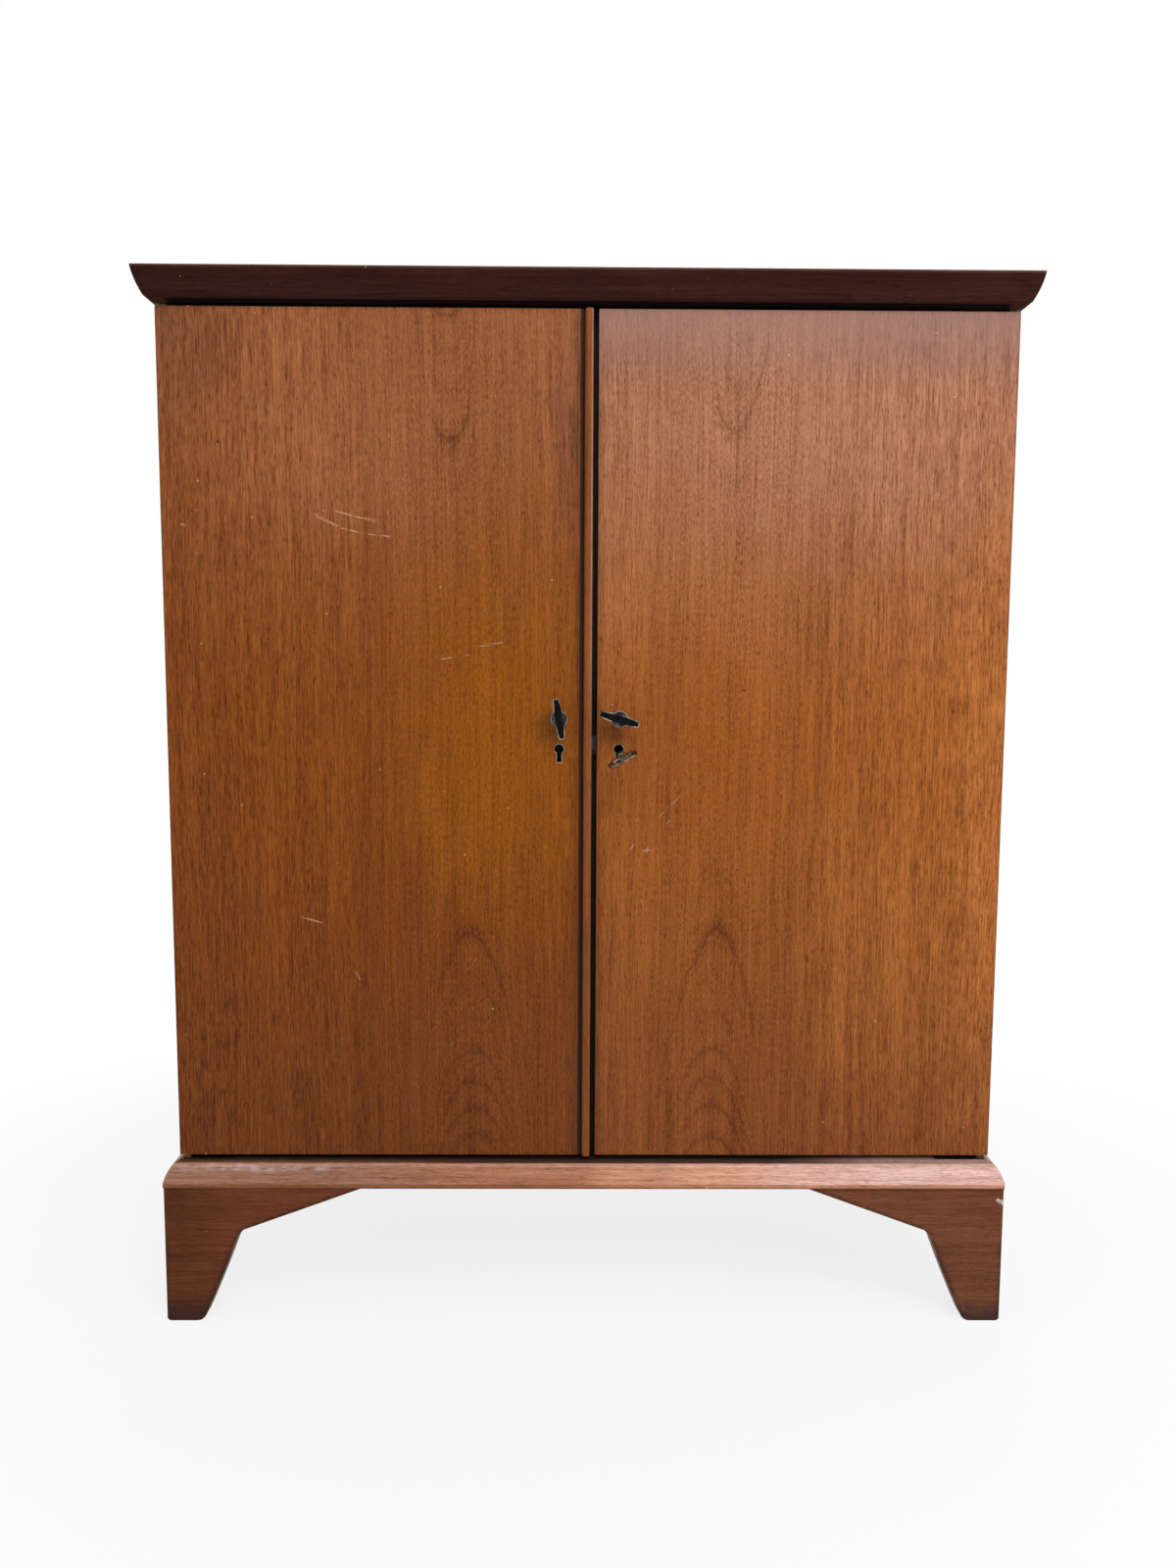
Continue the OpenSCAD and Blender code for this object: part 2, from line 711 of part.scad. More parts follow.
module latch_tongue(side, turn) color(steel) at_knob(side, turn) {
    rod_y(tongue_w * 0.7, tongue_y, tongue_y + tongue_t);
    span([-tongue_w / 2, tongue_y, 0], [tongue_w / 2, tongue_y + tongue_t, tongue_l - 1]);
}

/* Key */

// Moves a key drawn along Y, with its bit up, into the right keyhole as it stands there
module in_keyhole() translate([right_hole_x, (front_y + door_back_y) / 2, keyhole_z])
    rotate([key_droop, 0, key_lean]) rotate([0, 90 - key_turn, 0]) children();

// The oval of the bow, drawn in by g all round
module bow_outline(g) hull() for (end = [-1, 1])
    translate([end * (bow_w - bow_l) / 2, 0]) circle(r = bow_l / 2 - g, $fn = 32);

module key() color(dark_brass) in_keyhole() {
    tip_y = door_t / 2 + lock_d - 0.5;
    bow_y = -door_t / 2 - key_out + bow_l / 2;
    rod_y(shank_r, bow_y + bow_l / 2 - 2, tip_y);
    rod_y(shank_r + 1.2, bow_y + bow_l / 2 - 1, bow_y + bow_l / 2 + 3);
    span([-1.1, tip_y - 8, 0], [1.1, tip_y - 2, 8]);
    rotate([0, 90, 0]) translate([0, bow_y, -bow_t / 2]) linear_extrude(bow_t) difference() {
        bow_outline(0);
        bow_outline(bow_rim);
    }
}

/* Door racks, drawn for the right-hand door */

rack_x = [rack_in, inner_x - rack_side_gap];

module rack_end_outline() polygon([
    [0, 0], [rack_d, 0], [rack_d, rack_front_h - 12], [rack_d - 12, rack_front_h],
    [rack_d - 30, rack_front_h + 6], [14, rack_h], [0, rack_h]
]);

module rack(side, z) color(lining_wood) on_side(side) {
    rear = door_back_y;
    span([rack_x[0] + rack_t + glue, rear, z],
        [rack_x[1] - rack_t - glue, rear + rack_d - 4, z + rack_t]);
    for (x = [rack_x[0], rack_x[1] - rack_t]) difference() {
        translate([x, rear, z]) rotate([90, 0, 90]) linear_extrude(rack_t) rack_end_outline();
        translate([0, rear + rack_d - 14, z + rack_t + rail_z])
            rod_x(rail_r + pin_play, rack_x[0] + rack_t / 2, rack_x[1] - rack_t / 2);
    }
}

module rack_rail(side, z) color(brass) on_side(side)
    translate([0, door_back_y + rack_d - 14, z + rack_t + rail_z])
        rod_x(rail_r, rack_x[0] + rack_t / 2 + fit, rack_x[1] - rack_t / 2 - fit);

/* Parts */

side_panel(-1, left_shelves);  // left_side_panel
side_panel(1, right_shelves);  // right_side_panel
case_board(ceiling_z);  // case_top_board
case_board(base_top);  // case_bottom_board
back_panel();
centre_partition();
top_panel();
cornice_front();
cornice_end(-1);  // cornice_left
cornice_end(1);  // cornice_right
base_moulding_front();
base_moulding_end(-1);  // base_moulding_left
base_moulding_end(1);  // base_moulding_right
base_rails();
front_foot(-1);  // front_left_foot
front_foot(1);  // front_right_foot
rear_foot(-1);  // rear_left_foot
rear_foot(1);  // rear_right_foot
foot_corner_blocks();
color(lining_wood) shelf(-1, left_shelves[0], shelf_t, backing_y);  // left_serving_shelf
color("#b9d4cc") shelf(-1, left_shelves[1], glass_t, backing_y - mirror_t - fit);  // left_glass_shelf
color(lining_wood) shelf(1, right_shelves[0], shelf_t, backing_y);  // right_lower_shelf
color(lining_wood) shelf(1, right_shelves[1], shelf_t, backing_y);  // right_upper_shelf
shelf_pins();
back_mirror();
color(brass) for (side = [-1, 1]) on_side(side) base_pivot();  // base_pivots
color(brass) for (side = [-1, 1]) on_side(side) top_pivot();  // top_pivots
partition_strikes();
door_panel(-1);  // left_door_panel
meeting_bead();
color(brass) on_side(-1) pivot_leaves();  // left_pivot_leaves
keyhole_lining(-1);  // left_keyhole_lining
lock_case(-1);  // left_lock_case
lock_cover(-1);  // left_lock_cover
knob_bush(-1);  // left_knob_bush
rack(-1, floor_z + lower_rack_z);  // left_lower_rack
rack_rail(-1, floor_z + lower_rack_z);  // left_lower_rail
rack(-1, floor_z + upper_rack_z);  // left_upper_rack
rack_rail(-1, floor_z + upper_rack_z);  // left_upper_rail
door_panel(1);  // right_door_panel
color(brass) pivot_leaves();  // right_pivot_leaves
keyhole_lining(1);  // right_keyhole_lining
lock_case(1);  // right_lock_case
lock_cover(1);  // right_lock_cover
knob_bush(1);  // right_knob_bush
rack(1, floor_z + lower_rack_z);  // right_lower_rack
rack_rail(1, floor_z + lower_rack_z);  // right_lower_rail
rack(1, floor_z + upper_rack_z);  // right_upper_rack
rack_rail(1, floor_z + upper_rack_z);  // right_upper_rail
knob(-1, left_knob_turn);  // left_knob
knob_spindle(-1);  // left_knob_spindle
latch_tongue(-1, left_knob_turn);  // left_latch_tongue
knob(1, right_knob_turn);  // right_knob
knob_spindle(1);  // right_knob_spindle
latch_tongue(1, right_knob_turn - 90);  // right_latch_tongue
lock_bolt(-1);  // left_lock_bolt
lock_bolt(1);  // right_lock_bolt
key();
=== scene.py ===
import math

import bmesh
import bpy
from mathutils import Matrix, Vector


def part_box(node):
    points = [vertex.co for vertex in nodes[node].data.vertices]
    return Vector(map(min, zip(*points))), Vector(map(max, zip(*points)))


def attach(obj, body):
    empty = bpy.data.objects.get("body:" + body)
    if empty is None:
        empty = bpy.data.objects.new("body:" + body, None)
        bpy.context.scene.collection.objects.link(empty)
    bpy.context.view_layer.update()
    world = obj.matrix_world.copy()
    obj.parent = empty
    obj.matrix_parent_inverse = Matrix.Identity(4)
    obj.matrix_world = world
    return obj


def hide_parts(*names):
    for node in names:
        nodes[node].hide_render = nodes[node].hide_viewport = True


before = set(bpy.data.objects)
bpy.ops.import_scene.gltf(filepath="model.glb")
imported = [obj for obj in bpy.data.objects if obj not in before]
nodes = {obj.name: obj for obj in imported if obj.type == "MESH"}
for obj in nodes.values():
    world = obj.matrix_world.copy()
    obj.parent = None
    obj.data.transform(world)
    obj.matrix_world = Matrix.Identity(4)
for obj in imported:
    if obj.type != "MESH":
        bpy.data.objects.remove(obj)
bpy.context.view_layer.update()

sides = ("left", "right")
print("scene: frame loaded,", len(nodes), "nodes")

# the cabinet's own planes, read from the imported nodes
doorLow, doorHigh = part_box("left_door_panel")
corniceLow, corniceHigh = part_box("cornice_front")
mouldLow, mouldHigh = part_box("base_moulding_front")
frontY, halfWidth = doorLow.y, -doorLow.x
doorBottom, doorTop = doorLow.z, doorHigh.z
corniceFront, corniceBottom, corniceTop = corniceLow.y, corniceLow.z, corniceHigh.z
mouldBottom, mouldTop = mouldLow.z, mouldHigh.z
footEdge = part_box("front_right_foot")[1].x
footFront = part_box("front_left_foot")[0].y
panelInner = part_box("right_side_panel")[0].x
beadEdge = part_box("meeting_bead")[1].x


# node wiring

def sumMethod(operation, swapped=False):
    return lambda self, *other: self.net.calc(operation, *(other + (self,) if swapped else (self,) + other))


class Value:  # one output of a node, with the usual sums
    __add__, __mul__, __pow__, __abs__ = (sumMethod(name) for name in ("ADD", "MULTIPLY", "POWER", "ABSOLUTE"))
    __sub__, __rsub__ = sumMethod("SUBTRACT"), sumMethod("SUBTRACT", True)
    __truediv__, __rtruediv__ = sumMethod("DIVIDE"), sumMethod("DIVIDE", True)

    def __init__(self, net, socket):
        self.net, self.socket = net, socket


class Net:  # short calls for building one node tree
    def __init__(self, tree):
        self.tree = tree

    def node(self, kind, *values, **settings):  # the values go to the inputs in their order
        made = self.tree.nodes.new(kind)
        for key, value in settings.items():
            setattr(made, key, value)
        for socket, value in zip(made.inputs, values):
            self.put(socket, value)
        return made

    def put(self, socket, value):
        if isinstance(value, Value):
            value = value.socket
        if isinstance(value, bpy.types.NodeSocket):
            self.tree.links.new(value, socket)
        elif value is not None:  # a colour is opaque
            socket.default_value = (*value, 1.0) if socket.type == "RGBA" else value

    def feed(self, node, values):
        for key, value in values.items():
            self.put(node.inputs[key], value)
        return node

    def outputs(self, node):
        return {socket.name: Value(self, socket) for socket in node.outputs}

    def calc(self, operation, *values, clamp=False):
        made = self.node("ShaderNodeMath", *values, operation=operation, use_clamp=clamp)
        return Value(self, made.outputs[0])

    def clamp(self, value):
        return self.calc("ADD", value, 0.0, clamp=True)

    def most(self, first, second):
        return self.calc("MAXIMUM", first, second)

    def least(self, first, second):
        return self.calc("MINIMUM", first, second)

    def vector(self, operation, *values):
        made = self.node("ShaderNodeVectorMath", *values, operation=operation)
        return Value(self, made.outputs["Value" if operation in ("DOT_PRODUCT", "LENGTH", "DISTANCE") else "Vector"])

    def scaled(self, vector, amount):
        made = self.node("ShaderNodeVectorMath", vector, operation="SCALE")
        return Value(self, self.feed(made, {"Scale": amount}).outputs["Vector"])

    def flat(self, vector):  # the vector without its depth
        return self.vector("MULTIPLY", vector, (1, 0, 1))

    def split(self, vector):
        return [Value(self, socket) for socket in self.node("ShaderNodeSeparateXYZ", vector).outputs]

    def join(self, x, y, z):
        return Value(self, self.node("ShaderNodeCombineXYZ", x, y, z).outputs[0])

    def noise(self, vector, detail=2.0, roughness=0.5, scale=1.0, output=0):
        values = {"Vector": vector, "Scale": scale, "Detail": detail, "Roughness": roughness}
        return Value(self, self.feed(self.node("ShaderNodeTexNoise"), values).outputs[output])

    def range(self, value, low, high, atLow=0.0, atHigh=1.0, smooth=True):
        made = self.node("ShaderNodeMapRange", value, low, high, atLow, atHigh, clamp=True,
                         interpolation_type="SMOOTHSTEP" if smooth else "LINEAR")
        return Value(self, made.outputs[0])

    def fall(self, value, low, high, strength=1.0):  # full up to low, gone from high on
        return self.range(value, low, high, strength, 0.0)

    def mix(self, factor, first, second, blend="MIX"):
        made = self.node("ShaderNodeMix", data_type="RGBA", blend_type=blend)
        for index, value in ((0, factor), (6, first), (7, second)):
            self.put(made.inputs[index], value)
        return Value(self, made.outputs[2])

    def group(self, tree, **values):
        return self.outputs(self.feed(self.node("ShaderNodeGroup", node_tree=tree), values))

    def close(self, **results):  # gives a group its outputs
        for label in results:
            self.tree.interface.new_socket(name=label, in_out="OUTPUT", socket_type="NodeSocketFloat")
        self.feed(self.node("NodeGroupOutput"), results)
        return self.tree


def newGroup(name, **inputs):  # each input is a number, or else a vector
    tree = bpy.data.node_groups.new(name, "ShaderNodeTree")
    for label, value in inputs.items():
        kind = "NodeSocketVector" if value is None else "NodeSocketFloat"
        socket = tree.interface.new_socket(name=label, in_out="INPUT", socket_type=kind)
        if value is not None:
            socket.default_value = value
    net = Net(tree)
    return net, net.outputs(net.node("NodeGroupInput"))


knobLook = {"length": 0.043, "wing": 0.011, "tip": 0.0065, "boss": 0.009, "out": 0.024, "thick": 0.005, "rim": 0.0008,
            "lobe": 0.001, "channel": 0.0008, "round": 0.0003, "lobeInset": 0.0011, "lobeStep": 0.0004,
            "channelInset": 0.0007, "channelGap": 0.0006}
knobPlaces = {"left": (-0.03, 0.672, -9.0), "right": (0.034, 0.672, 106.0)}  # x, z, turn clockwise from upright
keyLook = {"shank": 0.0029, "out": 0.048, "bowWide": 0.034, "bowLong": 0.023, "bowThick": 0.003, "bowRim": 0.005,
           "droop": 10.0, "lean": 4.0, "turn": 28.0, "x": 0.034, "z": 0.639, "reach": 0.0125, "bitThick": 0.0022,
           "bitHeights": (0.0005, 0.008)}


# shared effects

def makeGrain():  # straight grain along Z: flecks, pores, threads, streaks and slow bands
    net, given = newGroup("straightGrain", Vector=None, Short=0.0, Seed=0.0)
    x, y, z = net.split(given["Vector"])
    seeded = given["Seed"] * 3.71
    sway = net.noise(net.join(x * 5.0 + seeded, y * 5.0, z * 1.6))
    ripple = net.noise(net.join(x * 60.0 + seeded, y * 60.0, z * 40.0))
    shifted = (ripple - 0.5) * 0.0016 + ((sway - 0.5) * 0.02 + x) + seeded

    def stretched(across, along, detail, roughness=0.5):
        return net.noise(net.join(shifted * across, y * across, z * along), detail, roughness)

    def spread(noise):
        return net.range(noise, 0.3, 0.7, smooth=False)

    long = stretched(640.0, 46.0, 3.0, 0.8)
    short = stretched(680.0, 200.0, 3.0, 0.8)
    return net.close(
        Fleck=net.range((short - long) * given["Short"] + long, 0.34, 0.66, smooth=False),
        Pore=net.range(stretched(900.0, 130.0, 1.0), 0.55, 0.68),
        Thread=spread(stretched(430.0, 11.0, 3.0, 0.65)),
        Streak=spread(stretched(120.0, 3.2, 3.0, 0.6)),
        Band=spread(stretched(30.0, 1.0, 3.0, 0.55)))


def makeFlame():  # nested arches of a crown-cut leaf, pointing up below and down above
    net, given = newGroup("flameFigure", Vector=None, Centre=0.0, Waist=0.69, Lean=0.0, Below=0.6, Above=0.2, Seed=0.0)
    x, y, z = net.split(given["Vector"])
    up = z - given["Waist"]

    def eitherSide(below, above):  # one value under the waist, another over it
        return net.range(up, -0.01, 0.01, below, above)

    wander = net.noise(net.join(x * 9.0 + given["Seed"], 0.0, z * 7.0)) - 0.5
    off = wander * 0.022 + (x - (up * given["Lean"] + given["Centre"]))
    squared = off * off
    spread = squared * (squared * eitherSide(4000.0, 54000.0) + eitherSide(26.0, 24.0))
    phase = wander * 0.7 + ((up * up - spread) / 0.028 + eitherSide(given["Below"], given["Above"]))
    uneven = net.noise(net.join(phase * 0.8, given["Seed"], 3.0), 1.0)
    phase = (uneven - 0.5) * 0.6 + phase
    clear = net.range(abs(phase - 3.0), 0.25, 1.1, 1.0, 0.3)
    clear = net.most(clear, net.range(phase, 5.0, 6.0, 0.0, 0.75))
    jitter = net.noise(net.join(x * 150.0, given["Seed"], z * 50.0), 3.0, 0.6)
    part = net.calc("FRACT", (jitter - 0.5) * 0.26 + phase)

    def nearness(reach):
        share = abs(off / reach)
        return 1.0 / (share * share * share + 1.0)

    cloud = net.range(net.noise(net.scaled(given["Vector"], 20.0)), 0.35, 0.6, 0.5, 1.0)
    fade = nearness(0.062) * net.range(abs(up), 0.15, 0.25) * (clear * cloud)
    inner = (1.0 - part) ** 4.0 * 0.7
    return net.close(Line=part ** 13.0 * fade, Shade=net.most(part ** 3.0, inner) * fade, Near=nearness(0.1))


def makePatch():  # soft-edged area, by centre and half size
    net, given = newGroup("softPatch", Vector=None, Centre=None, Size=None)
    cloud = net.noise(net.scaled(given["Vector"], 5.0), scale=5.0, output=1)
    wobble = net.scaled(net.vector("SUBTRACT", cloud, (0.5, 0.5, 0.5)), 0.12)
    gap = net.vector("ADD", net.vector("SUBTRACT", given["Vector"], given["Centre"]), wobble)
    gap = net.vector("DIVIDE", net.flat(gap), given["Size"])
    return net.close(Mask=net.fall(net.vector("LENGTH", gap), 0.15, 1.25))


def makeScratch():  # one thin broken line between two points
    net, given = newGroup("lineMark", Vector=None, From=None, To=None, Width=0.0006)
    flat = net.flat(given["Vector"])
    along = net.vector("SUBTRACT", given["To"], given["From"])
    reach = net.vector("SUBTRACT", flat, given["From"])
    share = net.clamp(net.vector("DOT_PRODUCT", reach, along) / net.vector("DOT_PRODUCT", along, along))
    wobble = (net.noise(net.scaled(flat, 45.0)) - 0.5) * 0.006
    distance = net.vector("LENGTH", net.vector("SUBTRACT", reach, net.scaled(along, share)))
    line = net.fall(abs(distance + wobble), 0.0, given["Width"])
    broken = net.range(net.noise(net.scaled(flat, 160.0)), 0.3, 0.5, 0.15, 1.0)
    return net.close(Mask=line * broken * net.clamp(share * (1.0 - share) * 9.0))


def makeSpecks():  # sparse small dots, one in a few of the cells
    net, given = newGroup("specks", Vector=None, Cells=60.0, Share=0.1, Size=0.05)
    cells = net.feed(net.node("ShaderNodeTexVoronoi"),
                     {"Vector": net.scaled(given["Vector"], given["Cells"]), "Scale": 1.0}).outputs
    red, green, blue = net.split(cells["Color"])
    chosen = net.calc("LESS_THAN", red, given["Share"])
    radius = given["Size"] * (green * 1.2 + 0.5)
    return net.close(Mask=net.fall(cells["Distance"], radius * 0.6, radius) * chosen)


def makeChips():  # chipped wood within a reach of an edge
    net, given = newGroup("edgeChips", Vector=None, Distance=1.0, Reach=0.002, Amount=0.5)
    coarse = net.noise(net.scaled(given["Vector"], 70.0), 3.0, 0.65)
    fine = net.noise(net.scaled(given["Vector"], 420.0), 2.0, 0.6)
    threshold = given["Amount"] * -0.28 + 0.72
    spot = net.range(coarse * 0.62 + fine * 0.38, threshold, threshold + 0.03)
    uneven = given["Reach"] * (coarse * 1.6 + 0.2)
    return net.close(Mask=spot * net.fall(given["Distance"], uneven * 0.6, uneven))


def makeTarnish():  # patina for metal: dull patches and fine rubbing
    net, given = newGroup("tarnish", Vector=None, Size=1.0)
    scaled = net.scaled(given["Vector"], given["Size"])
    return net.close(Patch=net.range(net.noise(net.scaled(scaled, 120.0), 3.0), 0.36, 0.68),
                     Fine=net.range(net.noise(net.scaled(scaled, 2400.0), 2.0, 0.6), 0.3, 0.7))


grainGroup = makeGrain()
flameGroup = makeFlame()
patchGroup = makePatch()
scratchGroup = makeScratch()
speckGroup = makeSpecks()
chipGroup = makeChips()
tarnishGroup = makeTarnish()
print("scene: shared effects built")


# materials

def startTree(owner, output):  # an empty tree with its output node
    owner.use_nodes = True
    owner.node_tree.nodes.clear()
    net = Net(owner.node_tree)
    net.surface = net.node(output).inputs["Surface"]
    return net


def startMaterial(name):
    material = bpy.data.materials.new(name)
    net = startTree(material, "ShaderNodeOutputMaterial")
    shader = net.node("ShaderNodeBsdfPrincipled")
    net.put(net.surface, shader.outputs[0])
    return material, net, shader, net.node("ShaderNodeTexCoord").outputs["Object"]


def bumped(net, shader, height, strength, distance=0.0004):
    bump = net.feed(net.node("ShaderNodeBump"), {"Strength": strength, "Distance": distance, "Height": height})
    net.put(shader.inputs["Normal"], bump.outputs[0])


def lineMark(net, spot, start, end, width):  # between two points, x and z
    start, end = [(x, 0, z) for x, z in (start, end)]
    return net.group(scratchGroup, Vector=spot, From=start, To=end, Width=width)["Mask"]


def roundMark(net, spot, x, z, full, clear, strength=1.0):
    return net.fall(net.vector("DISTANCE", net.flat(spot), (x, 0.0, z)), full, clear, strength)


def patchMark(net, spot, x, z, wide, tall):
    return net.group(patchGroup, Vector=spot, Centre=(x, 0, z), Size=(wide, 1, tall))["Mask"]


def speckMark(net, spot, cells, share, size):
    return net.group(speckGroup, Vector=spot, Cells=cells, Share=share, Size=size)["Mask"]


def chipMark(net, spot, distance, reach, amount):
    return net.group(chipGroup, Vector=spot, Distance=distance, Reach=reach, Amount=amount)["Mask"] * 0.8


woodLook = {"fibreDark": (0.44, 0.32, 0.24), "fibreLight": (1.52, 1.66, 1.8), "fleckPolish": -0.1,
            "bump": 0.15, "black": (0.006, 0.004, 0.003), "paintedLit": (0.4, 0.185, 0.11)}


def woodTone(net, grain, weights):  # one value around a half, from the weighted effects
    tone = weights["base"]
    for effect in ("Fleck", "Thread", "Streak", "Band", "Pore"):
        tone = grain[effect] * weights[effect] + tone
    return tone


def fibred(net, colour, tone):  # the colour with its fibres darker and lighter
    return net.mix(1.0, colour, net.mix(tone, woodLook["fibreDark"], woodLook["fibreLight"]), "MULTIPLY")


def finishWood(net, shader, grain, colour, roughness, specular):
    net.feed(shader, {"Base Color": colour, "Roughness": roughness, "Specular IOR Level": specular})
    bumped(net, shader, grain["Fleck"] * 0.4 - grain["Pore"], woodLook["bump"])


# the line colour serves the figure's lines and also the painted shade along the door edges
veneerLook = {"line": (0.06, 0.018, 0.006), "chip": (0.56, 0.35, 0.22), "dot": (0.03, 0.012, 0.008),
              "paintedKnobShadow": (0.035, 0.012, 0.004), "paintedSheen": (0.285, 0.165, 0.142), "paintedSheenStrength": 0.55,
              "roughness": 0.44, "specular": 0.1, "chipAmount": 0.3, "chipReach": 0.0014}
veneerGrain = {"base": -0.16, "Fleck": 0.66, "Thread": 0.42, "Streak": 0.2, "Band": 0.12, "Pore": -0.24}
knobShadowPlaces = {"left": (-0.009, -0.009), "right": (-0.006, -0.013)}  # painted shadow of each knob: its offset from the knob's middle, x and z
doorFigures = {
    "left": {"Centre": -0.1365, "Waist": 0.6935, "Lean": -0.0285, "Below": 0.6, "Above": 0.27, "Seed": 0.0},
    "right": {"Centre": 0.147, "Waist": 0.6935, "Lean": 0.022, "Below": 0.65, "Above": 0.12, "Seed": 4.3},
}
# painted light: each door is written lighter towards its head, partly a painted sheen of light from above, and the
# right door lighter than the left, partly painted light from the right
doorTones = {  # finish at the foot, the middle and the head of each door
    "left": ((0.143, 0.035, 0.0055), (0.19, 0.048, 0.0048), (0.255, 0.082, 0.026)),
    "right": ((0.198, 0.055, 0.0125), (0.28, 0.081, 0.0135), (0.318, 0.128, 0.064)),
}
doorPatches = {  # centre x and z, half width, half height, colour, strength
    "left": [(-0.095, 0.64, 0.12, 0.27, (0.25, 0.069, 0.002), 0.75),
             (-0.25, 0.95, 0.16, 0.1, (0.29, 0.098, 0.034), 0.5),
             (-0.46, 0.62, 0.09, 0.55, (0.16, 0.04, 0.007), 0.6),
             (-0.44, 1.09, 0.08, 0.12, (0.165, 0.053, 0.02), 0.8),
             (-0.1, 0.3, 0.12, 0.16, (0.19, 0.052, 0.01), 0.5),
             (-0.022, 0.965, 0.03, 0.12, (0.15, 0.048, 0.024), 0.45)],
    "right": [(0.26, 0.98, 0.2, 0.15, (0.365, 0.155, 0.085), 0.6),
              (0.1, 0.62, 0.14, 0.16, (0.235, 0.062, 0.007), 0.6),
              (0.33, 0.42, 0.12, 0.2, (0.33, 0.104, 0.02), 0.5),
              (0.44, 0.55, 0.05, 0.4, (0.4, 0.13, 0.03), 0.6),
              (0.05, 1.06, 0.06, 0.07, (0.22, 0.08, 0.045), 0.4),
              (0.4, 1.09, 0.18, 0.07, (0.262, 0.112, 0.07), 0.8)],
}
doorScratches = {  # width of each scratch, then its points, x and z
    "left": [(0.0005, (-0.269, 0.89), (-0.247, 0.884), (-0.222, 0.879)),
             (0.00065, (-0.289, 0.8865), (-0.262, 0.872), (-0.235, 0.8655), (-0.208, 0.863)),
             (0.00058, (-0.1595, 0.734), (-0.125, 0.7395)), (0.00036, (-0.1165, 0.748), (-0.088, 0.753)),
             (0.0005, (-0.43, 0.8745), (-0.421, 0.8735)), (0.00029, (-0.42, 0.889), (-0.4085, 0.889)),
             (0.00058, (-0.313, 0.455), (-0.2865, 0.4475)), (0.00036, (-0.253, 0.395), (-0.247, 0.384))],
    "right": [(0.00043, (0.069, 0.557), (0.102, 0.589)), (0.00043, (0.086, 0.558), (0.106, 0.576)),
              (0.00029, (0.052, 0.56), (0.074, 0.583)), (0.00043, (0.0435, 0.525), (0.052, 0.536)),
              (0.00043, (0.061, 0.5285), (0.075, 0.53)), (0.00036, (0.065, 0.526), (0.068, 0.537)),
              (0.00036, (0.037, 0.543), (0.044, 0.549))],
}
doorDots = {  # x, z and radius of small dark knots
    "left": [(-0.388, 0.96, 0.0022), (-0.418, 0.889, 0.0014)],
    "right": [(0.168, 0.703, 0.0018), (0.137, 0.673, 0.0012), (0.187, 0.618, 0.0014), (0.274, 0.573, 0.0012),
              (0.164, 0.5075, 0.0013), (0.243, 0.4075, 0.0015)],
}


